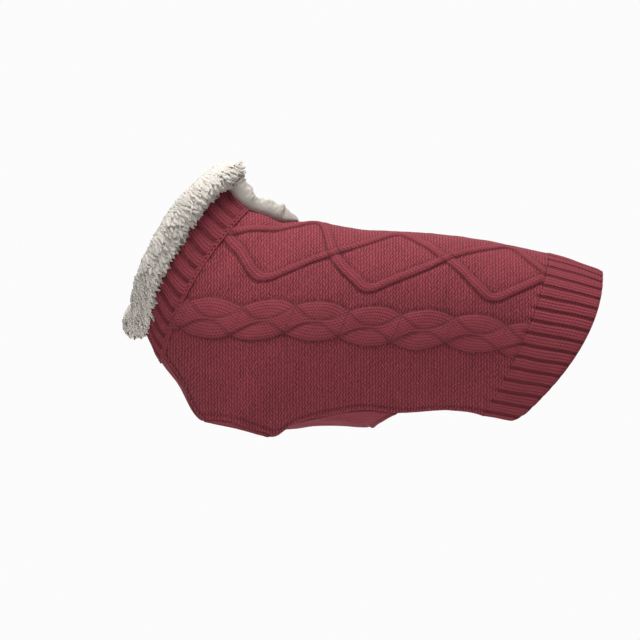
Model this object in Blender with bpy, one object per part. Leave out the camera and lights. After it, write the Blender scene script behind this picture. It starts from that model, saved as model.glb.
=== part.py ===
"""Dog sweater: a hollow knitted coat with a fleece collar, a slit at the back of the neck,
two leg holes, a short belly panel and a ribbed rear hem.  Head end at -X, tail end at +X, +Z up.

Every piece is a wall on one body surface.  That surface runs through the sections in the table:
each one goes from the top of the back, over the widest point, to the edge where the back panel
ends, and on to the middle of the underside.
"""
import bisect
import math
from collections import namedtuple

import bmesh
import bpy
import numpy as np

MM = 0.001

# Driving sizes, in millimetres.
SEAM_GAP = 0.3          # clear space between two pieces at a seam
HOLE_GAP = 0.4          # and between a panel and a leg hole's binding
BODY_WALL = 3.0         # knitted panels
RIB_WALL = 4.0          # ribbed bands, thicker than the panels
RIB_PROUD = 0.5         # and this much further out
UPPER_FULLNESS = 2.25   # 2 is an ellipse over the back, more is squarer
NORMAL_STEP = 4.0       # distance over which the surface's slope is measured

SLIT_HALF_AT_RIM = 13.0     # half the slit's width at the neck rim
SLIT_HALF_AT_END = 1.2
SLIT_END_SHARE = 0.6        # where the slit ends, from leg_front to leg_mid

LEG_HOLE_INSET = 1.5        # the hole starts this far inside its two end sections
LEG_HOLE_OUTER_REACH = 5.4  # from the panel's edge line up to the binding's seam
LEG_HOLE_INNER_REACH = 46.0     # from the edge line in under the chest
BINDING_WIDTH = 5.0
BINDING_PROUD = 0.4

BELLY_END_RISE = 25.0       # the belly panel is this much shorter at its middle than at its edges
HEM_CORNER_RADIUS = 9.0     # lower corners of the rear hem

TRIM_START = 12.5           # the slit's fleece begins this far behind the neck rim
TRIM_REACH = 5.0            # the slit's fleece runs this far past the slit's end
TRIM_OVERHANG = 5.8         # how far its front end leans in over the slit
TRIM_EDGE = 1.6             # thickness of the fleece along its two edges
TRIM_FULLNESS = 0.6         # below 1 its top is flatter and its sides are steeper
TRIM_STEPS = (0.0, 0.12, 0.35, 0.65, 0.88, 1.0)     # shares of its reach where its top has points

BODY_COLUMNS = 12           # mesh steps from the middle of the back to the edge
BELLY_COLUMNS = 6
BAND_COLUMNS = 18
NECK_ROWS = 5
HEM_ROWS = 3
CORNER_STEPS = 4
HOLE_STEPS = 14            # mesh steps along each side of a leg hole

KNIT_COLOUR = (0.235, 0.042, 0.060, 1.0)
RIB_COLOUR = (0.215, 0.036, 0.052, 1.0)
FLEECE_COLOUR = (0.650, 0.600, 0.545, 1.0)

# One row per section.  top: middle of the back.  half_width, widest_z: the widest point.
# edge: where the back panel ends.  keel_z: middle of the underside.  bow: how far the section
# curves along X at half its height.
Section = namedtuple(
    "Section", "name top_x top_z half_width widest_z edge_x edge_y edge_z keel_z bow")
SECTIONS = (
    Section("neck_rim", -150.0, 58.0, 57.0, -24.0, -235.5, 24.0, -105.0, -110.0, -15.0),
    Section("neck_seam", -124.0, 28.0, 61.0, -56.0, -219.0, 30.0, -137.0, -143.0, -15.0),
    Section("chest", -103.0, 19.0, 70.0, -80.0, -198.0, 36.0, -169.0, -173.5, -12.0),
    Section("leg_front", -83.5, 11.0, 76.0, -98.0, -176.0, 44.0, -209.0, -208.0, -8.0),
    Section("leg_mid", -63.5, 11.0, 79.0, -103.0, -137.0, 64.0, -219.5, -212.0, -4.0),
    Section("leg_rear", -44.5, 10.5, 80.0, -101.0, -98.0, 50.0, -228.0, -221.5, 0.0),
    Section("belly_front", -28.0, 7.5, 80.0, -97.0, -74.0, 47.0, -214.0, -219.5, 0.0),
    Section("belly_mid", -8.0, 4.0, 79.0, -93.0, -30.0, 48.0, -203.0, -216.0, 0.0),
    Section("belly_rear", 16.0, 1.5, 78.0, -90.0, 6.0, 47.0, -198.5, -217.5, 0.0),
    Section("belly_end", 52.0, 0.0, 76.0, -90.0, 43.0, 43.0, -202.0, -216.0, 0.0),
    Section("flank", 106.0, -4.5, 72.0, -87.0, 89.0, 38.0, -199.5, -210.0, 3.0),
    Section("loin", 162.0, -14.0, 68.0, -93.0, 114.0, 36.0, -200.5, -210.0, 7.0),
    Section("hem_seam", 211.0, -25.0, 66.0, -104.0, 137.0, 36.0, -204.5, -214.0, 10.0),
    Section("rear_rim", 270.0, -44.5, 67.0, -120.0, 174.0, 38.0, -211.0, -220.0, 23.0),
)

# One row per place along the slit, from the neck rim to its end: how far the fleece reaches
# down over the knit, and how high it stands.
TrimRow = namedtuple("TrimRow", "share reach height")
TRIM_ROWS = (
    TrimRow(0.00, 17.0, 19.0),
    TrimRow(0.20, 15.0, 16.5),
    TrimRow(0.40, 13.0, 15.0),
    TrimRow(0.58, 12.0, 17.0),
    TrimRow(0.72, 11.0, 18.0),
    TrimRow(0.86, 9.0, 11.0),
    TrimRow(1.00, 6.0, 4.5),
)

# One row per place round the collar, from the slit (0) to under the throat (1): the length and
# thickness of the fold, and how far its middle lies in front of the neck rim and outside it.
# At the slit its corner lies on top of the ribbing, and from there on it stands on the rim.
CollarRow = namedtuple("CollarRow", "share length thickness ahead lift")
COLLAR_ROWS = (
    CollarRow(0.00, 25.0, 22.0, 1.5, 13.2),
    CollarRow(0.10, 25.0, 22.0, 11.5, 11.5),
    CollarRow(0.22, 29.0, 21.0, 14.8, 4.0),
    CollarRow(0.55, 34.0, 18.0, 17.3, 2.0),
    CollarRow(0.85, 33.0, 22.0, 16.8, 4.5),
    CollarRow(1.00, 27.0, 30.0, 13.8, 7.5),
)
COLLAR_COLUMNS = 18
COLLAR_SIDES = 12
COLLAR_SQUARENESS = 2.6
COLLAR_SLIT_HALF = 6.0      # half the gap between the collar's two ends


def smooth_slopes(places, values):
    """Slopes at the rows that give a smooth line with no swing past any row."""
    steps = np.diff(places)
    rates = np.diff(values) / steps
    slopes = np.zeros(len(values))
    slopes[0] = rates[0]
    slopes[-1] = rates[-1]
    for i in range(1, len(values) - 1):
        if rates[i - 1] * rates[i] > 0:
            before = 2 * steps[i] + steps[i - 1]
            after = steps[i] + 2 * steps[i - 1]
            slopes[i] = (before + after) / (before / rates[i - 1] + after / rates[i])
    return slopes


def smooth_value(places, values, slopes, place):
    """Value of the smooth line through the rows at one place."""
    i = min(max(bisect.bisect_right(places, place) - 1, 0), len(places) - 2)
    step = places[i + 1] - places[i]
    u = (place - places[i]) / step
    start = values[i] + (values[i + 1] - values[i]) * (3 * u * u - 2 * u * u * u)
    bend = slopes[i] * (u - 2 * u * u + u ** 3) + slopes[i + 1] * (u ** 3 - u * u)
    return start + bend * step


class SmoothTable:
    """A table whose columns are read smoothly between its rows."""

    def __init__(self, rows, places):
        self.places = list(places)
        self.columns = {}
        for field in rows[0]._fields:
            values = [getattr(row, field) for row in rows]
            if all(isinstance(value, (int, float)) for value in values):
                self.columns[field] = (values, smooth_slopes(self.places, values))

    def read(self, field, place):
        values, slopes = self.columns[field]
        return smooth_value(self.places, values, slopes, place)


def section_places():
    """Distance of each section along the garment, halfway between its top and its edge."""
    places = [0.0]
    for before, after in zip(SECTIONS, SECTIONS[1:]):
        top = math.dist((before.top_x, before.top_z), (after.top_x, after.top_z))
        edge = math.dist((before.edge_x, before.edge_z), (after.edge_x, after.edge_z))
        places.append(places[-1] + (top + edge) / 2)
    return places


PLACES = section_places()
PLACE_OF = {section.name: place for section, place in zip(SECTIONS, PLACES)}
BODY_TABLE = SmoothTable(SECTIONS, PLACES)
TRIM_TABLE = SmoothTable(TRIM_ROWS, [row.share for row in TRIM_ROWS])
COLLAR_TABLE = SmoothTable(COLLAR_ROWS, [row.share for row in COLLAR_ROWS])
SLIT_END = PLACE_OF["leg_front"] + SLIT_END_SHARE * (PLACE_OF["leg_mid"] - PLACE_OF["leg_front"])
HOLE_FRONT = PLACE_OF["leg_front"] + LEG_HOLE_INSET
HOLE_REAR = PLACE_OF["leg_rear"] - LEG_HOLE_INSET


def arc_points(start, end, start_angle, steps=24):
    """Points of an arc from start, leaving at start_angle, to end, both as (y, z)."""
    chord = math.atan2(end[1] - start[1], end[0] - start[0])
    turn = chord - start_angle
    length = math.dist(start, end)
    handle = length / 3 / max(math.cos(turn / 2) ** 2, 0.2)
    end_angle = chord + turn
    first = (start[0] + handle * math.cos(start_angle), start[1] + handle * math.sin(start_angle))
    last = (end[0] - handle * math.cos(end_angle), end[1] - handle * math.sin(end_angle))
    u = np.linspace(0, 1, steps + 1)[:, None]
    corners = [np.array(point) for point in (start, first, last, end)]
    return ((1 - u) ** 3 * corners[0] + 3 * u * (1 - u) ** 2 * corners[1]
            + 3 * u * u * (1 - u) * corners[2] + u ** 3 * corners[3])


class BodySection:
    """One section: t from 0 at the top to 1 at the panel's edge and 2 under the keel."""

    cache = {}

    def __init__(self, place):
        place = min(max(place, PLACES[0]), PLACES[-1])
        row = {field: BODY_TABLE.read(field, place) for field in BODY_TABLE.columns}
        self.row = row
        top = (0.0, row["top_z"])
        widest = (row["half_width"], row["widest_z"])
        edge = (row["edge_y"], row["edge_z"])
        keel = (0.0, row["keel_z"])
        turn = np.linspace(0, math.pi / 2, 33)
        power = 2 / UPPER_FULLNESS
        back = np.stack([widest[0] * np.sin(turn) ** power,
                         widest[1] + (top[1] - widest[1]) * np.cos(turn) ** power], axis=1)
        side = arc_points(widest, edge, -math.pi / 2)
        under = arc_points(keel, edge, 0.0)[::-1]
        self.halves = []
        self.lengths = []
        for line in (np.vstack([back, side[1:]]), under):
            run = np.concatenate([[0.0], np.cumsum(np.linalg.norm(np.diff(line, axis=0), axis=1))])
            self.lengths.append(run[-1])
            self.halves.append((run / run[-1], line))

    @classmethod
    def at(cls, place):
        key = round(place, 4)
        if key not in cls.cache:
            cls.cache[key] = cls(place)
        return cls.cache[key]

    def girth(self, t):
        """Distance round the body from the middle of the back."""
        size = abs(t)
        back, under = self.lengths
        run = size * back if size <= 1 else back + (size - 1) * under
        return math.copysign(run, t)

    def point(self, girth):
        """A point of the outer surface; negative, or past the keel, is on the other side."""
        side = 1.0 if girth >= 0 else -1.0
        girth = abs(girth)
        back, under = self.lengths
        if girth > back + under:
            girth = 2 * (back + under) - girth
            side = -side
        if girth <= back:
            shares, line = self.halves[0]
            share = girth / back
        else:
            shares, line = self.halves[1]
            share = (girth - back) / under
        y = np.interp(share, shares, line[:, 0])
        z = np.interp(share, shares, line[:, 1])
        row = self.row
        drop = (row["top_z"] - z) / (row["top_z"] - row["edge_z"])
        bowed = min(max(drop, 0.0), 1.0)
        x = row["top_x"] + (row["edge_x"] - row["top_x"]) * drop + row["bow"] * 4 * bowed * (1 - bowed)
        return np.array((x, side * y, z))

    def t_at(self, distance):
        """t at a distance from the panel's edge, negative up the side, positive underneath."""
        length = self.lengths[0] if distance <= 0 else self.lengths[1]
        return 1 + distance / length


def surface_point(place, t):
    """t runs from 0 at the top to 1 at the panel's edge and 2 under the keel, then up again."""
    section = BodySection.at(place)
    if abs(t) > 2:
        t = -math.copysign(4 - abs(t), t)
    return section.point(section.girth(t))


def surface_frame(place, t):
    """Point, outward normal and the direction towards the tail."""
    along = surface_point(place + NORMAL_STEP, t) - surface_point(place - NORMAL_STEP, t)
    section = BodySection.at(place)
    if abs(t) > 2:
        t = -math.copysign(4 - abs(t), t)
    girth = section.girth(t)
    round_body = section.point(girth + NORMAL_STEP) - section.point(girth - NORMAL_STEP)
    normal = np.cross(along, round_body)
    return (section.point(girth), normal / np.linalg.norm(normal), along / np.linalg.norm(along))


def moved_out(place, t, distance):
    point, normal, _ = surface_frame(place, t)
    return point + normal * distance


def material(name, colour, roughness):
    made = bpy.data.materials.new(name)
    made.use_nodes = True
    shader = made.node_tree.nodes["Principled BSDF"]
    shader.inputs["Base Color"].default_value = colour
    shader.inputs["Roughness"].default_value = roughness
    shader.inputs["Metallic"].default_value = 0.0
    return made


def add_solid(name, points, faces, finish, collection):
    """A named object from points in millimetres; points that fall together are welded."""
    mesh = bpy.data.meshes.new(name)
    mesh.from_pydata([tuple(point * MM) for point in points], [], faces)
    shape = bmesh.new()
    shape.from_mesh(mesh)
    bmesh.ops.remove_doubles(shape, verts=shape.verts, dist=0.00001)
    bmesh.ops.recalc_face_normals(shape, faces=shape.faces)
    shape.to_mesh(mesh)
    shape.free()
    mesh.shade_smooth()
    mesh.set_sharp_from_angle(angle=math.radians(50))
    mesh.materials.append(finish)
    made = bpy.data.objects.new(name, mesh)
    collection.objects.link(made)
    return made


def grid_faces(rows, columns, first=0):
    """Quads of a grid of points that are listed row by row."""
    faces = []
    for i in range(rows - 1):
        for j in range(columns - 1):
            corner = first + i * columns + j
            faces.append((corner, corner + 1, corner + columns + 1, corner + columns))
    return faces


def wall_from_patches(patches, outer, inner):
    """Closed wall on patches of (place, t), between two distances from the surface.

    Patches that share points are joined, and each free edge is closed with a rim.
    """
    numbers = {}
    parameters = []
    faces = []
    for patch in patches:
        rows, columns = len(patch), len(patch[0])
        own = []
        for row in patch:
            for place, t in row:
                key = tuple(np.round(surface_point(place, t), 4))
                if key not in numbers:
                    numbers[key] = len(parameters)
                    parameters.append((place, t))
                own.append(numbers[key])
        for face in grid_faces(rows, columns):
            corners = list(dict.fromkeys(own[corner] for corner in face))
            if len(corners) > 2:
                faces.append(corners)
    count = len(parameters)
    points = [moved_out(place, t, outer) for place, t in parameters]
    points += [moved_out(place, t, inner) for place, t in parameters]
    order = {}
    for number, (place, t) in enumerate(parameters):
        folded = abs(t) if abs(t) <= 2 else 4 - abs(t)
        order[number] = (round(place, 4), round(folded, 5), 0)
        order[number + count] = (round(place, 4), round(folded, 5), 1)
    edges = {(a, b) for face in faces for a, b in zip(face, face[1:] + face[:1])}
    walls = [list(face) for face in faces]
    walls += [[corner + count for corner in reversed(face)] for face in faces]
    walls += [[b, a, a + count, b + count] for a, b in sorted(edges) if (b, a) not in edges]
    triangles = []
    for face in walls:
        triangles += split_face(face, order)
    return points, triangles


def split_face(face, order):
    """Triangles that fan from the face's first corner, so that neighbours split alike."""
    start = min(range(len(face)), key=lambda corner: order[face[corner]])
    turned = face[start:] + face[:start]
    return [(turned[0], turned[k], turned[k + 1]) for k in range(1, len(turned) - 1)]


def slit_t(place):
    """t of the slit's edge; 0 behind the slit."""
    if place >= SLIT_END:
        return 0.0
    share = place / SLIT_END
    half = SLIT_HALF_AT_RIM + (SLIT_HALF_AT_END - SLIT_HALF_AT_RIM) * share
    return half / BodySection.at(place).lengths[0]


def hole_reach(place, reach, slack):
    """How far a panel keeps from the edge line beside the leg hole at this place."""
    middle = (HOLE_FRONT + HOLE_REAR) / 2
    half = (HOLE_REAR - HOLE_FRONT) / 2 + slack
    across = (place - middle) / half
    if abs(across) >= 1:
        return 0.0
    return (reach + slack) * math.sqrt(1 - across * across)


def panel_edge_t(place):
    """t where the back panel ends: along the seam, the leg hole's binding or the free edge."""
    return BodySection.at(place).t_at(-max(hole_reach(place, LEG_HOLE_OUTER_REACH, HOLE_GAP),
                                           SEAM_GAP / 2))


def belly_edge_t(place):
    return BodySection.at(place).t_at(max(hole_reach(place, LEG_HOLE_INNER_REACH, HOLE_GAP),
                                          SEAM_GAP / 2))


def spaced(start, end, steps):
    return list(np.linspace(start, end, steps + 1))


def hole_places():
    """Places along the leg hole, closer together near its ends, where its outline turns."""
    middle = (HOLE_FRONT + HOLE_REAR) / 2
    half = (HOLE_REAR - HOLE_FRONT) / 2 + HOLE_GAP
    return [middle - half * math.cos(math.pi * k / HOLE_STEPS) for k in range(HOLE_STEPS + 1)]


def seam_places():
    """Places shared by the back and belly panels, so that their edges run side by side."""
    start = PLACE_OF["neck_seam"] + SEAM_GAP / 2
    hole = hole_places()
    return (spaced(start, hole[0], 5)[:-1] + hole
            + spaced(hole[-1], PLACE_OF["belly_front"], 5)[1:]
            + spaced(PLACE_OF["belly_front"], PLACE_OF["belly_end"], 6)[1:])


def build_back_panel(finish, collection):
    halves = []
    end = PLACE_OF["hem_seam"] - SEAM_GAP / 2
    places = sorted(seam_places() + [SLIT_END]) + spaced(PLACE_OF["belly_end"], end, 8)[1:]
    for side in (1, -1):
        patch = []
        for place in places:
            start, edge = slit_t(place), panel_edge_t(place)
            patch.append([(place, side * t) for t in spaced(start, edge, BODY_COLUMNS)[::side]])
        halves.append(patch)
    points, faces = wall_from_patches(halves, 0.0, -BODY_WALL)
    return add_solid("back_panel", points, faces, finish, collection)


def build_belly_panel(finish, collection):
    patch = []
    rear_start = PLACE_OF["leg_rear"]
    for edge_place in seam_places():
        shift = max(edge_place - rear_start, 0) / (PLACE_OF["belly_end"] - rear_start)
        row = []
        for share in spaced(-1, 1, 2 * BELLY_COLUMNS):
            place = edge_place - BELLY_END_RISE * shift * (1 - share * share)
            edge = belly_edge_t(edge_place)
            row.append((place, 2 + share * (2 - edge)))
        patch.append(row)
    points, faces = wall_from_patches([patch], 0.0, -BODY_WALL)
    return add_solid("belly_panel", points, faces, finish, collection)


def neck_places():
    return spaced(0, PLACE_OF["neck_seam"] - SEAM_GAP / 2, NECK_ROWS)


def build_neck_rib(finish, collection):
    patch = []
    for place in neck_places():
        start = slit_t(place)
        patch.append([(place, t) for t in spaced(start, 4 - start, 2 * BAND_COLUMNS)])
    points, faces = wall_from_patches([patch], RIB_PROUD, RIB_PROUD - RIB_WALL)
    return add_solid("neck_rib", points, faces, finish, collection)


def hem_edge_t(place):
    """The hem's edge rounds its corner into the rear rim."""
    past = max(place - (PLACES[-1] - HEM_CORNER_RADIUS), 0.0)
    lift = HEM_CORNER_RADIUS - math.sqrt(max(HEM_CORNER_RADIUS ** 2 - past ** 2, 0.0))
    return BodySection.at(place).t_at(-lift)


def build_rear_hem(finish, collection):
    start = PLACE_OF["hem_seam"] + SEAM_GAP / 2
    corner = PLACES[-1] - HEM_CORNER_RADIUS
    turns = [corner + HEM_CORNER_RADIUS * math.sin(angle)
             for angle in spaced(0, math.pi / 2, CORNER_STEPS)[1:]]
    patch = []
    for place in spaced(start, corner, HEM_ROWS) + turns:
        edge = hem_edge_t(place)
        patch.append([(place, t) for t in spaced(-edge, edge, 2 * BAND_COLUMNS)])
    points, faces = wall_from_patches([patch], RIB_PROUD, RIB_PROUD - RIB_WALL)
    return add_solid("rear_hem", points, faces, finish, collection)


def binding_ring(inset, side):
    """Places and t round the leg hole, set in from the panels' edges by inset."""
    middle = (HOLE_FRONT + HOLE_REAR) / 2
    half = (HOLE_REAR - HOLE_FRONT) / 2 - inset
    ring = []
    for k in range(2 * HOLE_STEPS):
        turn = math.pi * k / HOLE_STEPS
        place = middle + half * math.cos(turn)
        reach = LEG_HOLE_INNER_REACH if math.sin(turn) > 0 else LEG_HOLE_OUTER_REACH
        distance = (reach - inset) * math.sin(turn)
        ring.append((place, side * BodySection.at(place).t_at(distance)))
    return ring


def build_leg_binding(name, side, finish, collection):
    """A closed rolled band round one leg hole, as rings of points at the corners of its section."""
    inner_face = BINDING_PROUD - BODY_WALL
    outline = (
        (0.0, inner_face),
        (0.0, 0.0),
        (0.3 * BINDING_WIDTH, BINDING_PROUD),
        (0.8 * BINDING_WIDTH, BINDING_PROUD),
        (BINDING_WIDTH, 0.25 * inner_face),
        (BINDING_WIDTH, 0.85 * inner_face),
        (0.8 * BINDING_WIDTH, inner_face),
    )
    points = []
    for inset, lift in outline:
        points += [moved_out(place, t, lift) for place, t in binding_ring(inset, side)]
    faces = []
    count = 2 * HOLE_STEPS
    for i in range(len(outline)):
        following = (i + 1) % len(outline)
        for k in range(count):
            after = (k + 1) % count
            corner = i * count + k
            faces.append((corner, i * count + after, following * count + after))
            faces.append((corner, following * count + after, following * count + k))
    return add_solid(name, points, faces, finish, collection)


def loft(sections):
    """Closed solid through rings of equal point count, with flat ends."""
    count = len(sections[0])
    points = [point for section in sections for point in section]
    faces = [tuple(range(count))[::-1], tuple((len(sections) - 1) * count + k for k in range(count))]
    for i in range(len(sections) - 1):
        for k in range(count):
            after = (k + 1) % count
            faces.append((i * count + k, i * count + after, (i + 1) * count + after,
                          (i + 1) * count + k))
    return points, faces


def build_slit_trim(name, side, finish, collection):
    """Fleece turned out over one edge of the slit: a rounded strip that stands on the knit."""
    sections = []
    end = SLIT_END + TRIM_REACH
    places = [TRIM_START] + [place for place in neck_places() if place > TRIM_START + 1]
    places += [place for place in sorted(seam_places() + [SLIT_END]) if place < end - 1] + [end]
    for place in places:
        base = SEAM_GAP + (RIB_PROUD if place < PLACE_OF["neck_seam"] else 0.0)
        share = (place - TRIM_START) / (end - TRIM_START)
        reach = TRIM_TABLE.read("reach", share)
        height = TRIM_TABLE.read("height", share)
        section = BodySection.at(place)
        start = max(slit_t(place) * section.lengths[0] - TRIM_OVERHANG * (1 - share), SEAM_GAP)
        ring = []
        for across in (1.0, 0.5, 0.0):
            t = (start + reach * across) / section.lengths[0]
            ring.append(moved_out(place, side * t, base))
        for across in TRIM_STEPS:
            t = (start + reach * across) / section.lengths[0]
            crown = max(math.sin(math.pi * across), 0.0) ** TRIM_FULLNESS
            ring.append(moved_out(place, side * t, base + TRIM_EDGE + (height - TRIM_EDGE) * crown))
        sections.append(ring)
    points, faces = loft(sections)
    return add_solid(name, points, faces, finish, collection)


def build_collar(finish, collection):
    """Fleece folded over the neck rim: one long roll from slit edge to slit edge."""
    length = BodySection.at(0.0).lengths[0]
    start = COLLAR_SLIT_HALF / length
    sections = []
    for t in spaced(start, 4 - start, 2 * COLLAR_COLUMNS):
        share = (t - start) / (2 - start)
        share = min(share, 2 - share)
        long_half = COLLAR_TABLE.read("length", share) / 2
        thick_half = COLLAR_TABLE.read("thickness", share) / 2
        point, normal, along = surface_frame(0.0, t)
        ahead = COLLAR_TABLE.read("ahead", share)
        centre = point - along * ahead + normal * COLLAR_TABLE.read("lift", share)
        ring = []
        for k in range(COLLAR_SIDES):
            turn = 2 * math.pi * k / COLLAR_SIDES
            power = 2 / COLLAR_SQUARENESS
            forward = math.copysign(abs(math.cos(turn)) ** power, math.cos(turn)) * long_half
            outward = math.copysign(abs(math.sin(turn)) ** power, math.sin(turn)) * thick_half
            ring.append(centre - along * forward + normal * outward)
        sections.append(ring)
    points, faces = loft(sections)
    return add_solid("fleece_collar", points, faces, finish, collection)


def clear_scene():
    for item in list(bpy.data.objects):
        bpy.data.objects.remove(item, do_unlink=True)


def main():
    clear_scene()
    collection = bpy.data.collections.new("dog_sweater")
    bpy.context.scene.collection.children.link(collection)
    knit = material("cranberry_knit", KNIT_COLOUR, 0.95)
    belly_knit = material("cranberry_belly_knit", KNIT_COLOUR, 0.95)
    neck_knit = material("cranberry_neck_rib", RIB_COLOUR, 0.95)
    hem_knit = material("cranberry_hem_rib", RIB_COLOUR, 0.95)
    binding_knit = material("cranberry_binding", RIB_COLOUR, 0.95)
    fleece = material("cream_fleece", FLEECE_COLOUR, 1.0)
    build_back_panel(knit, collection)
    build_belly_panel(belly_knit, collection)
    build_neck_rib(neck_knit, collection)
    build_rear_hem(hem_knit, collection)
    build_leg_binding("leg_binding_left", 1, binding_knit, collection)
    build_leg_binding("leg_binding_right", -1, binding_knit, collection)
    build_collar(fleece, collection)
    build_slit_trim("slit_trim_left", 1, fleece, collection)
    build_slit_trim("slit_trim_right", -1, fleece, collection)


main()
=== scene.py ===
import math

import bpy
import numpy as np
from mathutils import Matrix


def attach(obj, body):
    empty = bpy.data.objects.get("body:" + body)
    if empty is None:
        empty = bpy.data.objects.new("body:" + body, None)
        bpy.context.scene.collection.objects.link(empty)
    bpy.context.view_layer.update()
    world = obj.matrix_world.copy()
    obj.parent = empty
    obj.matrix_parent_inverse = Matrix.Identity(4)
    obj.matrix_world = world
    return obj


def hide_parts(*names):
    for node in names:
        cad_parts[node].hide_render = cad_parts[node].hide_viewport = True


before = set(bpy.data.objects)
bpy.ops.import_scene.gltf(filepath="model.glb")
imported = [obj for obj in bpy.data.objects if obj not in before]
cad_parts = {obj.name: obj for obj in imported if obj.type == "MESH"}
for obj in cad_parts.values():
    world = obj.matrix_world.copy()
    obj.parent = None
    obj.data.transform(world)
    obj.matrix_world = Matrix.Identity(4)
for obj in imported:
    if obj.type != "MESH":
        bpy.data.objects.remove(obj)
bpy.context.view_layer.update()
mm = 0.001
scene = bpy.context.scene
print("frame loaded:", len(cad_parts), "nodes")


# Every piece of cloth lies on one body surface, worked out in millimetres from these sections.
# Each runs from the middle of the back over the widest point to the edge of the back panel, and
# on to the middle of the underside.
sectionNames = ("neckRim", "neckSeam", "chest", "legFront", "legMid", "legRear", "bellyFront",
                "bellyMid", "bellyRear", "bellyEnd", "flank", "loin", "hemSeam", "rearRim")
# topX, topZ, halfWidth, widestZ, edgeX, edgeY, edgeZ, keelZ, bow
sectionRows = np.array((
    (-150.0, 58.0, 57.0, -24.0, -235.5, 24.0, -105.0, -110.0, -15.0),
    (-124.0, 28.0, 61.0, -56.0, -219.0, 30.0, -137.0, -143.0, -15.0),
    (-103.0, 19.0, 70.0, -80.0, -198.0, 36.0, -169.0, -173.5, -12.0),
    (-83.5, 11.0, 76.0, -98.0, -176.0, 44.0, -209.0, -208.0, -8.0),
    (-63.5, 11.0, 79.0, -103.0, -137.0, 64.0, -219.5, -212.0, -4.0),
    (-44.5, 10.5, 80.0, -101.0, -98.0, 50.0, -228.0, -221.5, 0.0),
    (-28.0, 7.5, 80.0, -97.0, -74.0, 47.0, -214.0, -219.5, 0.0),
    (-8.0, 4.0, 79.0, -93.0, -30.0, 48.0, -203.0, -216.0, 0.0),
    (16.0, 1.5, 78.0, -90.0, 6.0, 47.0, -198.5, -217.5, 0.0),
    (52.0, 0.0, 76.0, -90.0, 43.0, 43.0, -202.0, -216.0, 0.0),
    (106.0, -4.5, 72.0, -87.0, 89.0, 38.0, -199.5, -210.0, 3.0),
    (162.0, -14.0, 68.0, -93.0, 114.0, 36.0, -200.5, -210.0, 7.0),
    (211.0, -25.0, 66.0, -104.0, 137.0, 36.0, -204.5, -214.0, 10.0),
    (270.0, -44.5, 67.0, -120.0, 174.0, 38.0, -211.0, -220.0, 23.0),
))
cut = {
    "seamGap": 0.3,
    "seenGap": 0.01,        # the cloth of two pieces meets at a sewn seam
    "holeGap": 0.1,
    "upperFullness": 2.25,
    "slitHalfAtRim": 13.0,
    "slitHalfAtEnd": 1.2,
    "slitEndShare": 0.6,
    "holeInset": 1.5,
    "holeOuterReach": 5.4,
    "holeInnerReach": 46.0,
    "bellyEndRise": 25.0,
    "hemCorner": 9.0,
    "normalStep": 4.0,
}


def smoothTable(places, rows):
    # columns read smoothly between rows, with no swing past any row
    places, rows = np.array(places, float), np.array(rows, float)
    steps = np.diff(places)[:, None]
    rates = np.diff(rows, axis=0) / steps
    slopes = np.zeros_like(rows)
    slopes[0], slopes[-1] = rates[0], rates[-1]
    before, after = 2 * steps[1:] + steps[:-1], steps[1:] + 2 * steps[:-1]
    same = rates[:-1] * rates[1:] > 0
    first, second = np.where(same, rates[:-1], 1.0), np.where(same, rates[1:], 1.0)
    slopes[1:-1] = np.where(same, (before + after) / (before / first + after / second), 0.0)

    def read(place):
        i = int(np.clip(np.searchsorted(places, place, side="right") - 1, 0, len(places) - 2))
        step = places[i + 1] - places[i]
        u = (place - places[i]) / step
        start = rows[i] + (rows[i + 1] - rows[i]) * (3 * u * u - 2 * u ** 3)
        bend = slopes[i] * (u - 2 * u * u + u ** 3) + slopes[i + 1] * (u ** 3 - u * u)
        return start + bend * step

    return read


topSteps = np.linalg.norm(np.diff(sectionRows[:, [0, 1]], axis=0), axis=1)
edgeSteps = np.linalg.norm(np.diff(sectionRows[:, [4, 6]], axis=0), axis=1)
sectionPlaces = np.concatenate([[0.0], np.cumsum((topSteps + edgeSteps) / 2)])
placeOf = dict(zip(sectionNames, sectionPlaces))
readSection = smoothTable(sectionPlaces, sectionRows)
slitEnd = placeOf["legFront"] + cut["slitEndShare"] * (placeOf["legMid"] - placeOf["legFront"])
holeMiddle = (placeOf["legFront"] + placeOf["legRear"]) / 2
holeHalf = (placeOf["legRear"] - placeOf["legFront"]) / 2 - cut["holeInset"]


def arcPoints(start, end, startAngle, steps):
    # (y, z) points of an arc that leaves start at startAngle and reaches end
    chord = math.atan2(end[1] - start[1], end[0] - start[0])
    turn = chord - startAngle
    handle = math.dist(start, end) / 3 / max(math.cos(turn / 2) ** 2, 0.2)
    endAngle = chord + turn
    first = (start[0] + handle * math.cos(startAngle), start[1] + handle * math.sin(startAngle))
    last = (end[0] - handle * math.cos(endAngle), end[1] - handle * math.sin(endAngle))
    u = np.linspace(0, 1, steps + 1)[:, None]
    corners = [np.array(point) for point in (start, first, last, end)]
    return ((1 - u) ** 3 * corners[0] + 3 * u * (1 - u) ** 2 * corners[1]
            + 3 * u * u * (1 - u) * corners[2] + u ** 3 * corners[3])


halfSamples = 500       # table columns from the top to the panel's edge, and again to the keel
tableStep = 1.0         # millimetres between table rows


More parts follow.
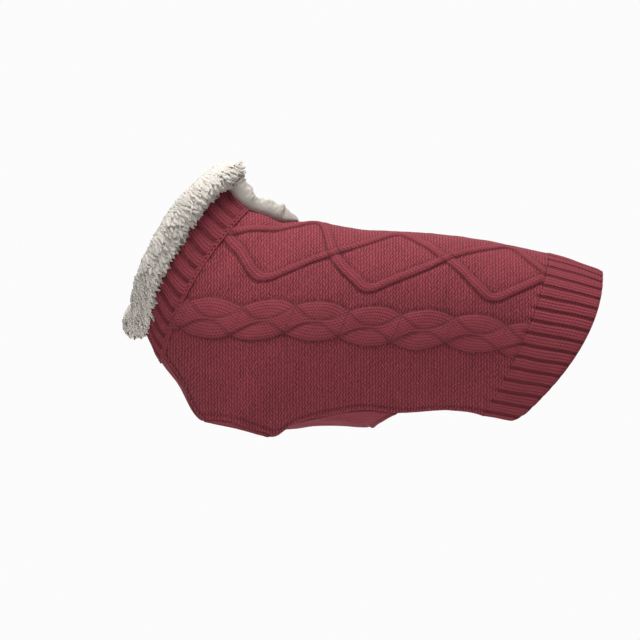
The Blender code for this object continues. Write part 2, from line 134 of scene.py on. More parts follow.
def sectionLine(place):
    # one section as points at even shares of each half, with the two halves' lengths
    topX, topZ, halfWidth, widestZ, edgeX, edgeY, edgeZ, keelZ, bow = readSection(place)
    turn = np.linspace(0, math.pi / 2, 161)
    power = 2 / cut["upperFullness"]
    back = np.stack([halfWidth * np.sin(turn) ** power,
                     widestZ + (topZ - widestZ) * np.cos(turn) ** power], axis=1)
    side = arcPoints((halfWidth, widestZ), (edgeY, edgeZ), -math.pi / 2, 100)
    under = arcPoints((0.0, keelZ), (edgeY, edgeZ), 0.0, 100)[::-1]
    points, lengths = [], []
    for line in (np.vstack([back, side[1:]]), under):
        run = np.concatenate([[0.0], np.cumsum(np.linalg.norm(np.diff(line, axis=0), axis=1))])
        lengths.append(run[-1])
        share = np.linspace(0, run[-1], halfSamples + 1)
        points.append(np.stack([np.interp(share, run, line[:, k]) for k in (0, 1)], axis=1))
    y, z = np.vstack([points[0], points[1][1:]]).T
    drop = (topZ - z) / (topZ - edgeZ)
    bowed = np.clip(drop, 0, 1)
    x = topX + (edgeX - topX) * drop + bow * 4 * bowed * (1 - bowed)
    return np.stack([x, y, z], axis=1), lengths


tablePlaces = np.append(np.arange(0, sectionPlaces[-1], tableStep), sectionPlaces[-1])
tableLines = [sectionLine(place) for place in tablePlaces]
bodyTable = np.array([line for line, lengths in tableLines])
backLengths = np.array([lengths[0] for line, lengths in tableLines])
underLengths = np.array([lengths[1] for line, lengths in tableLines])


def lengthsAt(place):
    return np.interp(place, tablePlaces, backLengths), np.interp(place, tablePlaces, underLengths)


def bodyPoint(place, t):
    # t is 0 at the top, 1 at the panel's edge, 2 under the keel and up to 4 round the far side
    place, t = np.broadcast_arrays(np.asarray(place, float), np.asarray(t, float))
    side = np.sign(t) + (t == 0)
    size = np.abs(t)
    side = np.where(size > 2, -side, side)
    size = np.where(size > 2, 4 - size, size)
    row = np.interp(place, tablePlaces, np.arange(len(tablePlaces)))
    i = np.clip(row.astype(int), 0, len(tablePlaces) - 2)
    column = size * halfSamples
    j = np.clip(column.astype(int), 0, 2 * halfSamples - 1)
    u, v = (row - i)[..., None], (column - j)[..., None]
    found = ((1 - u) * ((1 - v) * bodyTable[i, j] + v * bodyTable[i, j + 1])
             + u * ((1 - v) * bodyTable[i + 1, j] + v * bodyTable[i + 1, j + 1]))
    found[..., 1] *= side
    return found


def girthOf(place, t):
    back, under = lengthsAt(place)
    size = np.abs(t)
    run = (np.minimum(size, 1) * back + np.clip(size - 1, 0, 2) * under
           + np.maximum(size - 3, 0) * back)
    return np.copysign(run, t)


def tOf(place, girth):
    back, under = lengthsAt(place)
    size = np.abs(girth)
    t = (np.minimum(size / back, 1) + np.clip((size - back) / under, 0, 2)
         + np.maximum(size - back - 2 * under, 0) / back)
    return np.copysign(t, girth)


def unit(vectors):
    return vectors / np.linalg.norm(vectors, axis=-1, keepdims=True)


def bodyFrame(place, t):
    # points, outward normals and the direction towards the tail
    step = cut["normalStep"]
    last = sectionPlaces[-1]
    along = (bodyPoint(np.clip(np.asarray(place) + step, 0, last), t)
             - bodyPoint(np.clip(np.asarray(place) - step, 0, last), t))
    girth = girthOf(place, t)
    around = bodyPoint(place, tOf(place, girth + step)) - bodyPoint(place, tOf(place, girth - step))
    return bodyPoint(place, t), unit(np.cross(along, around)), unit(along)


def slitHalf(place):
    opening = cut["slitHalfAtRim"] + (cut["slitHalfAtEnd"] - cut["slitHalfAtRim"]) * place / slitEnd
    return np.where(np.asarray(place) >= slitEnd - 1e-6, 0.0, opening)


def holeReach(place, reach, slack):
    across = (place - holeMiddle) / (holeHalf + slack)
    return (reach + slack) * np.sqrt(np.clip(1 - across * across, 0, 1))


def panelEdge(place):
    # girth where the back panel ends
    gap = np.maximum(holeReach(place, cut["holeOuterReach"], cut["holeGap"]), cut["seamGap"] / 2)
    return lengthsAt(place)[0] - gap


def ripple(across, along, seed, size):
    # smooth unevenness, from about -1 to 1, with the given size in millimetres
    draw = np.random.default_rng(seed)
    total = np.zeros(np.broadcast(across, along).shape)
    for _ in range(6):
        angle, phase = draw.uniform(0, math.pi), draw.uniform(0, 2 * math.pi)
        wave = 2 * math.pi / (size * draw.uniform(0.7, 1.6))
        total += np.sin(wave * (across * math.cos(angle) + along * math.sin(angle)) + phase)
    return total / 3.2


# Node trees are built from wrapped sockets, on which Python's own arithmetic works.
class Value:
    # one output of a node; arithmetic on it adds Math nodes
    def __init__(self, graph, socket):
        self.graph, self.socket = graph, socket

    def output(self, key):
        # another output of the same node
        return Value(self.graph, self.graph.pick(self.socket.node.outputs, key))

    def __add__(self, other):
        return self.graph.maths("ADD", self, other)

    def __sub__(self, other):
        return self.graph.maths("SUBTRACT", self, other)

    def __rsub__(self, other):
        return self.graph.maths("SUBTRACT", other, self)

    def __mul__(self, other):
        return self.graph.maths("MULTIPLY", self, other)

    def __abs__(self):
        return self.graph.maths("ABSOLUTE", self)

    __radd__ = __add__
    __rmul__ = __mul__


class Graph:
    def __init__(self, tree):
        self.tree = tree

    def pick(self, sockets, key):
        if isinstance(key, int):
            return sockets[key]
        return next(socket for socket in sockets if socket.name == key and socket.enabled)

    def add(self, kind, settings=None, inputs=None, output=0):
        # settings come first, because they decide which sockets are on
        node = self.tree.nodes.new(kind)
        for name, value in (settings or {}).items():
            setattr(node, name, value)
        for key, value in (inputs or {}).items():
            socket = self.pick(node.inputs, key)
            if isinstance(value, Value):
                self.tree.links.new(value.socket, socket)
            else:
                socket.default_value = value
        return Value(self, self.pick(node.outputs, output)) if node.outputs else None

    def maths(self, operation, *values):
        return self.add("ShaderNodeMath", {"operation": operation}, dict(enumerate(values)))

    def mix(self, factor, first, second):
        settings = {"data_type": "RGBA", "blend_type": "MIX", "clamp_factor": True}
        return self.add("ShaderNodeMix", settings, {"Factor": factor, "A": first, "B": second},
                        "Result")

    def scale(self, vector, amount):
        return self.add("ShaderNodeVectorMath", {"operation": "SCALE"},
                        {"Vector": vector, "Scale": amount}, "Vector")

    def split(self, vector):
        parts = self.add("ShaderNodeSeparateXYZ", {}, {0: vector})
        return parts, parts.output(1)

    def noise(self, vector, scale, detail=2.0, roughness=0.5):
        return self.add("ShaderNodeTexNoise", {}, {"Vector": vector, "Scale": scale, "Detail": detail,
                                                   "Roughness": roughness}, "Fac")

    def attribute(self, name):
        return self.add("ShaderNodeAttribute", {"attribute_name": name}, {}, "Fac")

    def uv(self, name):
        return self.add("ShaderNodeUVMap", {"uv_map": name}, {}, "UV")

    def objectSpace(self):
        return self.add("ShaderNodeTexCoord", {}, {}, "Object")

    def link(self, value, shader, key):
        self.tree.links.new(value.socket, shader.inputs[key])


def newMaterial(name):
    made = bpy.data.materials.new(name)
    made.use_nodes = True
    return made, Graph(made.node_tree), made.node_tree.nodes["Principled BSDF"]


softness = {"sheenRoughness": 0.45, "specular": 0.25}      # of every yarn and pile


def setShader(graph, shader, colour, roughness, height, finish, sheenTint):
    graph.link(colour, shader, "Base Color")
    graph.link(roughness, shader, "Roughness")
    raised = graph.add("ShaderNodeBump", {}, {"Strength": 1.0, "Distance": finish["bump"],
                                              "Height": height}, "Normal")
    graph.link(raised, shader, "Normal")
    shader.inputs["Sheen Weight"].default_value = finish["sheen"]
    shader.inputs["Sheen Roughness"].default_value = softness["sheenRoughness"]
    shader.inputs["Sheen Tint"].default_value = sheenTint
    shader.inputs["Specular IOR Level"].default_value = softness["specular"]


knit = {
    # between dark and light lie both the yarn's real flecks and patches and the painted shade of its
    # stitches
    "light": (0.262, 0.040, 0.055, 1.0),
    "dark": (0.066, 0.0095, 0.0145, 1.0),
    "rosy": (0.285, 0.062, 0.074, 1.0),
    "sheenTint": (1.0, 0.55, 0.58, 1.0),
    # how strongly painted shade darkens grooves, creases and edges
    "paintedShadeStrength": 0.62,
    # purl and wale: how strongly the stitches' relief is painted into the colour as shade
    "purlPaintedShade": 0.88,
    "walePaintedShade": 0.66,
    "legContrast": 0.32,        # the two slanting legs of each plain stitch
    "fuzzScale": 1500.0,
    "fleckScale": 420.0,
    "patchScale": 28.0,
    "bump": 0.0009,
    "sheen": 0.06,
}


def makeKnit(name, tint=1.0):
    # groundUv counts purl bumps, strandUv counts wales and courses, smooth is 1 on plain wales
    made, graph, shader = newMaterial(name)
    tau = 2 * math.pi
    smooth, hollow = graph.attribute("smooth"), graph.attribute("hollow")
    groundUv, strandUv = graph.uv("groundUv"), graph.uv("strandUv")
    wander = graph.noise(groundUv, 0.35)
    wobble = graph.noise(groundUv, 1.1, 1.0)
    # the ground: rows of purl bumps, staggered and a little uneven
    across, along = graph.split(groundUv)
    across = across + wander * 1.6
    along = along + wobble * 0.7
    wave = graph.maths("SINE", across * tau)
    rowLine = graph.maths("COSINE", (along + wave * 0.16) * tau)
    brick = graph.maths("COSINE", along * (tau / 2)) * graph.maths("COSINE", across * tau)
    purl = (rowLine * 0.85 + brick * 0.42) * 0.40 + 0.5
    # the strands and ribs: plain wales, each with two slanting legs a stitch
    wale, course = graph.split(strandUv)
    wale = wale + (wobble - 0.5) * 0.22
    edge = abs(graph.maths("FRACT", wale) * 2 - 1)
    legs = graph.maths("COSINE", (course - edge * 0.8) * tau)
    plain = 0.85 - edge * edge * edge * 0.72 + legs * knit["legContrast"]
    stitch = purl + (plain - purl) * smooth
    objectSpace = graph.objectSpace()
    fuzz = graph.noise(objectSpace, knit["fuzzScale"], 3.0, 0.65)
    patches = graph.noise(objectSpace, knit["patchScale"])
    flecks = graph.noise(objectSpace, knit["fleckScale"], 2.0, 0.6)
    # painted shade: the colour is darker where the stitches' relief is low, between purl bumps and
    # wales, mixed with real flecks and patches
    stitchShadeContrast = knit["purlPaintedShade"] + (knit["walePaintedShade"] - knit["purlPaintedShade"]) * smooth
    shadeAndTone = 0.62 + (stitch - 0.5) * stitchShadeContrast * 1.7 + (flecks - 0.5) * 0.42 + (patches - 0.5) * 0.3
    colour = graph.mix(shadeAndTone, knit["dark"], knit["light"])
    colour = graph.mix((fuzz - 0.45) * 0.8, colour, knit["rosy"])
    # painted shade: darker where the mask marks grooves, creases and edges
    colour = graph.scale(colour, (1 - hollow * knit["paintedShadeStrength"]) * tint)
    height = stitch * 0.70 + fuzz * 0.30 + flecks * 0.24
    setShader(graph, shader, colour, 0.84 + fuzz * 0.14, height, knit, knit["sheenTint"])
    return made


fleece = {
    "light": (0.610, 0.572, 0.525, 1.0),
    "shade": (0.520, 0.478, 0.425, 1.0),
    "sheenTint": (1.0, 1.0, 1.0, 1.0),
    "curlScale": 260.0,
    "fibreScale": 1400.0,
    "driftScale": 30.0,
    "bump": 0.0008,
    "sheen": 0.05,
    "glow": 0.3,                # light that passes into the pile and out again
    "glowRadius": (1.0, 0.9, 0.8),
    "glowDepth": 0.002,
}


def makeFleece(name, curl, tint=1.0):
    made, graph, shader = newMaterial(name)
    objectSpace = graph.objectSpace()
    curls = graph.noise(objectSpace, fleece["curlScale"] * curl, 3.0, 0.6)
    fibres = graph.noise(objectSpace, fleece["fibreScale"], 3.0, 0.7)
    drift = graph.noise(objectSpace, fleece["driftScale"])
    # the tone attribute holds the tufts' random tone and painted shade on the roll under the pile and
    # the trims' undersides
    shadeAndTone = (graph.attribute("tone") * 0.5 + curls * 0.55 + (fibres - 0.5) * 0.35
             + (drift - 0.5) * 0.3)
    colour = graph.scale(graph.mix(shadeAndTone, fleece["shade"], fleece["light"]), tint)
    setShader(graph, shader, colour, 0.9 + fibres * 0.1, curls * 0.7 + fibres * 0.4, fleece,
              fleece["sheenTint"])
    shader.inputs["Subsurface Weight"].default_value = fleece["glow"]
    shader.inputs["Subsurface Radius"].default_value = fleece["glowRadius"]
    shader.inputs["Subsurface Scale"].default_value = fleece["glowDepth"]
    return made


bodyKnit = makeKnit("cranberryKnit")
bellyKnit = makeKnit("cranberryBellyKnit", 0.97)
ribKnit = makeKnit("cranberryRib", 0.97)
bindingKnit = makeKnit("cranberryBinding", 1.05)
curlyFleece = makeFleece("creamCurlyFleece", 1.0)
# the trim's fleece is a less curly, darker copy of the collar's: the darkening is painted shade
flatFleece = makeFleece("creamFleeceTrim", 0.8, 0.76)
print("materials made")


def putInScene(name, data):
    made = bpy.data.objects.new(name, data)
    scene.collection.objects.link(made)
    return made


def newMesh(name, points, faces, finish=None):
    # points in millimetres
    mesh = bpy.data.meshes.new(name)
    mesh.from_pydata((np.asarray(points) * mm).tolist(), [], faces)
    if finish:
        mesh.materials.append(finish)
    return mesh


def setValues(mesh, values):
    # one column is an attribute, two are a UV map and three a vector attribute
    loops = np.empty(len(mesh.loops), int)
    mesh.loops.foreach_get("vertex_index", loops)
    for key, data in values.items():
        if data.ndim == 1:
            mesh.attributes.new(key, "FLOAT", "POINT").data.foreach_set("value", data)
        elif data.shape[1] == 2:
            mesh.uv_layers.new(name=key).data.foreach_set("uv", data[loops].ravel())
        else:
            mesh.attributes.new(key, "FLOAT_VECTOR", "POINT").data.foreach_set("vector", data.ravel())


def makePiece(name, points, faces, values, finish, rims=0):
    # the last faces, as many as rims says, are the cut edge of the cloth and are shaded flat
    used = np.unique(np.concatenate([np.array(face) for face in faces]))
    renumber = np.full(len(points), -1)
    renumber[used] = np.arange(len(used))
    mesh = newMesh(name, points[used], [renumber[list(face)].tolist() for face in faces], finish)
    setValues(mesh, {key: data[used] for key, data in values.items()})
    mesh.polygons.foreach_set("use_smooth", np.arange(len(faces)) < len(faces) - rims)
    return putInScene(name, mesh)


def gridFaces(ids, flip):
    a, b, c, d = ids[:-1, :-1], ids[:-1, 1:], ids[1:, 1:], ids[1:, :-1]
    order = (a, d, c, b) if flip else (a, b, c, d)
    return np.stack([corner.ravel() for corner in order], axis=1).tolist()


def rimFaces(outerLine, innerLine, picked, backwards):
    # polygons that close the edge between a fine outer line and a coarser inner one
    faces = []
    for k in range(len(picked) - 1):
        run = [int(number) for number in outerLine[picked[k]:picked[k + 1] + 1]]
        ends = [int(innerLine[k + 1]), int(innerLine[k])]
        face = run + ends
        faces.append(face[::-1] if backwards else face)
    return faces


def everyThird(count, always):
    return sorted(set(range(0, count, 3)) | {count - 1} | set(always))


def makeShell(name, outer, inner, values, finish, slit=None):
    # rows run towards the tail and columns round the body from right to left; slit is the column
    # and row where a cut between two columns ends
    rows, columns = outer.shape[:2]
    column, row = slit or (0, 0)
    rowPick = everyThird(rows, [row])
    columnPick = everyThird(columns, [column - 1, column] if slit else [])
    outerIds = np.arange(rows * columns).reshape(rows, columns)
    innerIds = rows * columns + np.arange(len(rowPick) * len(columnPick)).reshape(len(rowPick), -1)
    chosen = np.ix_(rowPick, columnPick)
    points = np.vstack([outer.reshape(-1, 3), inner[chosen].reshape(-1, 3)])
    allValues = {}
    for key, data in values.items():
        shape = (-1, data.shape[2]) if data.ndim == 3 else (-1,)
        allValues[key] = np.concatenate([data.reshape(shape), data[chosen].reshape(shape)])
    blocks = [(0, columns, 0, len(columnPick))]
    if slit:
        innerColumn = columnPick.index(column)
        innerRow = rowPick.index(row)
        outerIds[row:, column] = outerIds[row:, column - 1]
        innerIds[innerRow:, innerColumn] = innerIds[innerRow:, innerColumn - 1]
        blocks = [(0, column, 0, innerColumn), (column, columns, innerColumn, len(columnPick))]
    faces, rims = [], []
    for k, (start, end, innerStart, innerEnd) in enumerate(blocks):
        block, innerBlock = outerIds[:, start:end], innerIds[:, innerStart:innerEnd]
        picked = [place - start for place in columnPick[innerStart:innerEnd]]
        faces += gridFaces(block, True) + gridFaces(innerBlock, False)
        rims += rimFaces(block[0], innerBlock[0], picked, False)
        rims += rimFaces(block[-1], innerBlock[-1], picked, True)
        leftRows = rowPick if k == 0 else rowPick[:rowPick.index(row) + 1]
        rightRows = rowPick if k == len(blocks) - 1 else rowPick[:rowPick.index(row) + 1]
        rims += rimFaces(block[:, 0], innerBlock[:, 0], leftRows, True)
        rims += rimFaces(block[:, -1], innerBlock[:, -1], rightRows, False)
    return makePiece(name, points, faces + rims, allValues, finish, len(rims))


def newTree(name, kinds):
    # a Geometry Nodes tree with named inputs: its graph, its given values, and identifiers
    tree = bpy.data.node_groups.new(name, "GeometryNodeTree")
    tree.interface.new_socket("Geometry", in_out="INPUT", socket_type="NodeSocketGeometry")
    keys = {label: tree.interface.new_socket(label, in_out="INPUT", socket_type=kind).identifier
            for label, kind in kinds.items()}
    tree.interface.new_socket("Geometry", in_out="OUTPUT", socket_type="NodeSocketGeometry")
    graph = Graph(tree)
    return graph, graph.add("NodeGroupInput"), keys


def closeTree(graph, instances, finish):
    real = graph.add("GeometryNodeRealizeInstances", {}, {"Geometry": instances}, "Geometry")
    coloured = graph.add("GeometryNodeSetMaterial", {}, {"Geometry": real, "Material": finish},
                         "Geometry")
    graph.add("NodeGroupOutput", {}, {"Geometry": coloured})


def growTree(piece, graph, keys, sizes):
    # runs a tree on the piece and leaves the result as a plain mesh
    modifier = piece.modifiers.new("growth", "NODES")
    modifier.node_group = graph.tree
    for label, value in sizes.items():
        modifier[keys[label]] = value
    bpy.context.view_layer.update()
    evaluated = piece.evaluated_get(bpy.context.evaluated_depsgraph_get())
    grown = bpy.data.meshes.new_from_object(evaluated)
    piece.modifiers.clear()
    piece.data = grown
    grown.shade_smooth()
    print(piece.name, len(grown.polygons), "faces")
    return grown


def declare(piece, node):
    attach(piece, "root")
    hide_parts(node)


def spaced(start, end, step):
    return np.linspace(start, end, max(int(round((end - start) / step)), 1) + 1)


def bump(distance, width):
    return np.exp(-(distance / width) ** 2)


def clothGrid(places, girth):
    # one row a place and one column a girth, with points and normals on the body
    place = np.broadcast_to(places[:, None], girth.shape)
    t = tOf(place, girth)
    points, normals, _ = bodyFrame(place, t)
    return place, t, points, normals


def runDown(points):
    # length along each column from the first row
    steps = np.linalg.norm(np.diff(points, axis=0), axis=2)
    return np.concatenate([np.zeros((1, points.shape[1])), np.cumsum(steps, axis=0)])


def makeCloth(name, points, normals, height, wall, values, finish, follow=0.4, slit=None):
    # the inner face follows a share of the outer face's relief, one wall below it
    outer = points + normals * height[..., None]
    inner = points + normals * (follow * height - wall)[..., None]
    return makeShell(name, outer, inner, values, finish, slit)


panel = {
    "rowStep": 1.45,
    "waleStep": 1.5,
    "straightWales": (12.0, 178.0),     # between these half widths the columns follow the wales
    "topColumns": 8,
    "lowerColumns": 46,
    "courseLength": 360.0,      # pattern length from the neck seam to the hem seam
    "rearHalfWidth": 250.0,     # half the knitted width where the panel is pulled in at the rear
    "purlWide": 5.6,
    "purlLong": 3.25,
    "wall": 2.8,
    "innerFollow": 0.35,
    "seamFade": 5.0,            # how far the ribs' grooves run into the panel
    "hemFade": 7.0,
    "foldFade": 16.0,           # the folds fade out this near to the middle of the back
}
# the rolled lower edge and the line of stitches above it
roll = {"at": 3.2, "width": 2.6, "height": 0.7, "freeHeight": 0.5, "lineAt": 6.6, "lineWidth": 1.3,
        "lineDepth": 0.8, "lip": 1.4, "lipDepth": 0.3, "freeLip": 0.5, "freeFrom": 8.0,
        "freeOver": 10.0}
# each strand's turning points: share of the way to the hem, and distance from the middle
diamonds = {
    "half": 4.9, "height": 2.2, "lift": 1.1, "steepest": 0.78, "wale": 3.2, "rounding": 0.022,
    "meeting": 15.0,
    "falling": ((-0.05, 48), (0.20, 106), (0.345, 75), (0.51, 24), (0.693, 66), (0.87, 111),
                (1.02, 62)),
    "rising": ((-0.05, 67), (0.0, 59), (0.12, 38), (0.245, 15), (0.354, 74), (0.507, 113),
               (0.693, 66), (0.865, 22), (1.02, 68)),
}
cable = {"half": 12.2, "height": 2.6, "lift": 1.3, "steepest": 0.8, "wale": 3.4, "centre": 151.5,
         "swing": 10.2, "first": 0.03, "spacing": 0.1515, "haste": 0.6}
# where strands cross, and the sunken ground along them, with the strength of the painted shade there
crease = {"width": 1.1, "depth": 0.9, "least": 0.4, "besideWidth": 1.5, "hollow": 0.6,
          "sunkDepth": 0.7, "sunkWidth": 2.4}
neckRib = {"firstGroove": 13.0, "pitch": 15.3, "half": 2.1, "depth": 1.7, "top": 1.4, "proud": 0.5,
           "wall": 3.4, "wale": 3.2, "waleDepth": 0.28, "rowStep": 1.5, "columns": 448,
           "turnedEdge": 5.0, "turnedDepth": 1.2, "seamWidth": 2.2, "rimWidth": 3.0,
           "rimDepth": 0.8, "hollow": 0.5, "onPanelHalf": 3.2, "onPanelDepth": 1.3}
hemRib = {"count": 17, "half": 1.5, "depth": 1.1, "top": 1.0, "proud": 0.5, "wall": 3.4, "wale": 3.2,
          "waleDepth": 0.22, "rowStep": 1.8, "columnsEach": 28, "rimWidth": 3.2, "sideWidth": 1.6,
          "hollow": 0.66}
courseHeight = 3.0
foldGirth = 250.0       # the folds' t counts this many millimetres
# soft folds: from (place, t) to (place, t), half width and height in millimetres
folds = (
    (48, 0.30, 66, 0.52, 8.0, -2.6),
    (46, 0.47, 72, 0.60, 7.0, 1.3),
    (60, 0.24, 92, 0.34, 9.0, 1.2),
    (122, 0.98, 104, 0.80, 9.0, -1.5),
    (136, 0.99, 134, 0.82, 8.0, 1.2),
    (158, 0.97, 172, 0.78, 10.0, -1.6),
    (176, 0.99, 205, 0.83, 9.0, 1.3),
    (240, 0.99, 232, 0.86, 10.0, -0.9),
    (300, 0.99, 292, 0.84, 12.0, 0.9),
    (345, 0.99, 352, 0.82, 11.0, -0.9),
    (122, 0.04, 160, 0.10, 9.0, 0.9),
    (385, 0.55, 408, 0.60, 9.0, -0.8),
    (60, 0.78, 84, 0.88, 10.0, -1.4),
)


def foldHeight(place, t, seed):
    draw = np.random.default_rng(seed)
    total = np.zeros(t.shape)
    for start, startT, end, endT, width, height in folds:
        shift = draw.uniform(-5, 5, 2) if seed else np.zeros(2)
        a = np.array((start + shift[0], startT * foldGirth + shift[1]))
        b = np.array((end + shift[0], endT * foldGirth + shift[1]))
        spot = np.stack([place, np.abs(t) * foldGirth], axis=-1) - a
        share = np.clip(spot @ (b - a) / ((b - a) @ (b - a)), -0.3, 1.3)
        away = np.linalg.norm(spot - share[..., None] * (b - a), axis=-1)
        total += height * bump(away, width) * np.clip(1 - ((share - 0.5) / 0.85) ** 2, 0, 1)
    return total


def zigzag(share, sign):
    corners = np.array(diamonds["falling" if sign > 0 else "rising"])
    total = 0.0
    for offset in (-1.0, -0.6, -0.2, 0.2, 0.6, 1.0):
        total = total + np.interp(share + offset * diamonds["rounding"], *corners.T)
    return total / 6


def ropeLine(share, sign):
    turn = math.pi * (share - cable["first"]) / cable["spacing"]
    wave = np.tanh(cable["haste"] * np.sin(turn)) / math.tanh(cable["haste"])
    return cable["centre"] - sign * cable["swing"] * wave


def strandOffset(line, wales, share, sign):
    # distance across a strand and its slope; a strand with a falling line crosses on top
    step = 0.002
    slope = (line(share + step, sign) - line(share - step, sign)) / (2 * step * panel["courseLength"])
    return (wales - line(share, sign)) / np.sqrt(1 + slope * slope), slope


def strandShape(shape, line, wales, share, sign):
    # height of one strand, its steepness, the distance from its edge and its wale number
    away, slope = strandOffset(line, wales, share, sign)
    steep = np.abs(slope) / shape["steepest"]
    front = np.clip(-slope / shape["steepest"], -1, 1)
    shaped, coordinate = away, away / shape["wale"]
    if shape is diamonds:
        front = front * bump(zigzag(share, 1) - zigzag(share, -1), shape["meeting"])
    else:
        # between two crossings the strands lie close and fill one lens
        flat = np.clip(1 - steep, 0, 1)
        swing = line(share, sign) - shape["centre"]
        outward = np.sign(swing) * away
        swing = np.abs(swing)
        full = shape["swing"] + shape["half"]
        nested = (outward + swing) * full / (swing + shape["half"])
        strand = outward + shape["swing"]
        coordinate = (strand + (nested - strand) * flat) / shape["wale"]
        shaped = np.where(outward < 0, away * (1 - 0.85 * flat), away)
    inside = np.clip(1 - (shaped / shape["half"]) ** 2, 0, 1)
    inside = np.where(np.abs(away) < shape["half"] * 1.02, inside, 0)
    height = shape["height"] * inside ** 0.42 + shape["lift"] * front * inside ** 0.2
    fromEdge = np.abs(np.abs(away) - shape["half"])
    return np.where(inside > 0, height, 0), steep, fromEdge, coordinate + 0.5


def patternRelief(wales, share):
    # height, plain-stitch mask, painted-shade mask and strand coordinates of the cable and the
    # diamonds
    height, smooth, hollow = (np.zeros(wales.shape) for _ in range(3))
    strandUv = np.zeros(wales.shape + (2,))
    strandUv[..., 1] = share * panel["courseLength"] / courseHeight
    for shape, line in ((diamonds, zigzag), (cable, ropeLine)):
        best, second, steep = (np.zeros(wales.shape) for _ in range(3))
        nearest = np.full(wales.shape, 99.0)
        for sign in (1, -1):
            own, ownSteep, fromEdge, wale = strandShape(shape, line, wales, share, sign)
            top = own > best
            steep = np.maximum(steep, ownSteep)
            second = np.where(top, best, np.maximum(second, own))
            nearest = np.minimum(nearest, fromEdge)
            strandUv[..., 0] = np.where(top, wale, strandUv[..., 0])
            best = np.where(top, own, best)
        between = np.clip(1 - (best - second) / crease["width"], 0, 1) * (second > crease["least"])
        between = between * np.clip(1.4 * steep - 0.1, 0, 1)
        beside = bump(nearest, crease["besideWidth"])
        height = np.where(best > 0, best - between * crease["depth"],
                          height - crease["sunkDepth"] * bump(nearest, crease["sunkWidth"]))
        # painted shade in the creases where strands cross and in the ground beside their edges
        hollow = np.maximum(hollow, np.maximum(beside, between) * crease["hollow"])
        smooth = np.where(best > 0.5, 1.0, smooth)
    return height, smooth, hollow, strandUv


def ribGroove(girth, firstGroove, pitch, half):
    offset = (girth - firstGroove) / pitch
    away = (offset - np.round(offset)) * pitch
    return 1 / (1 + (away / half) ** 4), away


def hemGrooves(place, t):
    # the hem's ribs keep their shares of the girth; returns the groove mask and the offset
    girth = np.abs(girthOf(place, t))
    pitch = lengthsAt(place)[0] / hemRib["count"]
    return ribGroove(girth, pitch / 2, pitch, hemRib["half"])


def panelGrid():
    start = placeOf["neckSeam"] + cut["seenGap"]
    end = placeOf["hemSeam"] - cut["seenGap"]
    places = np.concatenate([spaced(start, slitEnd, panel["rowStep"])[:-1],
                             spaced(slitEnd, end, panel["rowStep"])])
    slitRow = int(np.searchsorted(places, slitEnd - 1e-6))
    edges = panelEdge(places)
    back = lengthsAt(places)[0]
    spread = np.where(places > placeOf["bellyMid"],
                      np.maximum(panel["rearHalfWidth"] / back, 1.0), 1.0)
    first, last = panel["straightWales"]
    firstSteps = np.linspace(0, 1, panel["topColumns"] + 1)[:-1]
    lastSteps = np.linspace(0, 1, panel["lowerColumns"])
    slits = slitHalf(places)
    girth = np.concatenate([
        slits[:, None] + (first / spread - slits)[:, None] * firstSteps,
        spaced(first, last, panel["waleStep"])[:-1] / spread[:, None],
        (last / spread)[:, None] + (edges - last / spread)[:, None] * lastSteps], axis=1)
    return places, slitRow, edges, spread, girth


def makeBackPanel():
    places, slitRow, edges, spread, half = panelGrid()
    girth = np.concatenate([-half[:, ::-1], half], axis=1)
    place, t, points, normals = clothGrid(places, girth)
    run = runDown(points)
    share = run / run[-1]
    signed = girth * spread[:, None]
    wales = np.abs(signed)
    course = share * panel["courseLength"]
    sway = 0.8 * ripple(wales, course, 5, 60.0)
    height, smooth, hollow, strandUv = patternRelief(wales + sway, share)
    height = height * (0.25 + 0.75 * np.clip(run / panel["seamFade"], 0, 1))
    # the rolled lower edge, fuller where no belly panel is sewn to it
    fromEdge = edges[:, None] - np.abs(girth)
    free = np.clip((place - placeOf["bellyEnd"] + roll["freeFrom"]) / roll["freeOver"], 0, 1)
    rolled = bump(fromEdge - roll["at"], roll["width"]) * (roll["height"] + roll["freeHeight"] * free)
    line = bump(fromEdge - roll["lineAt"], roll["lineWidth"]) * (1 - 0.4 * free)
    lip = bump(fromEdge, roll["lip"]) * (roll["lipDepth"] + roll["freeLip"] * free)
    height = height + rolled - line * roll["lineDepth"] - lip
    # painted shade in the groove of the stitch line and under the free rolled edge
    hollow = np.maximum(hollow, np.maximum(line * 0.6, bump(fromEdge, 1.0) * 0.5 * free))
    # the grooves of both ribbings fade into the panel
    toNeck = np.exp(-run / panel["seamFade"])
    toHem = np.exp(-(run[-1] - run) / panel["seamFade"])
    fromHem = np.clip((run[-1] - run) / panel["hemFade"], 0, 1)
    neckGroove, _ = ribGroove(np.abs(girth), neckRib["firstGroove"], neckRib["pitch"],
                              neckRib["onPanelHalf"])
    hemGroove, _ = hemGrooves(place, t)
    height = height * fromHem + (0.4 - neckRib["onPanelDepth"] * neckGroove) * toNeck
    height = height + (hemRib["proud"] + hemRib["top"]
                       - (hemRib["depth"] + hemRib["top"]) * hemGroove) * toHem
    # painted shade in the grooves of both ribbings where they run into the panel
    hollow = np.maximum(hollow, np.maximum(hemGroove * toHem * hemRib["hollow"],
                                           neckGroove * toNeck * neckRib["hollow"]))
    soft = np.where(girth < 0, foldHeight(place, t, 0), foldHeight(place, t, 4))
    uneven = 0.35 * ripple(signed, course, 11, 34.0) + 0.12 * ripple(signed, course, 12, 9.0)
    soft = soft * np.clip(np.abs(girth) / panel["foldFade"], 0, 1)
    height = height + (soft + uneven) * fromHem
    groundUv = np.stack([signed / panel["purlWide"], points[..., 0] / panel["purlLong"]], axis=-1)
    values = {"groundUv": groundUv, "strandUv": strandUv, "smooth": smooth, "hollow": hollow}
    piece = makeCloth("knitBackPanel", points, normals, height, panel["wall"], values, bodyKnit,
                      panel["innerFollow"], (half.shape[1], slitRow))
    declare(piece, "back_panel")


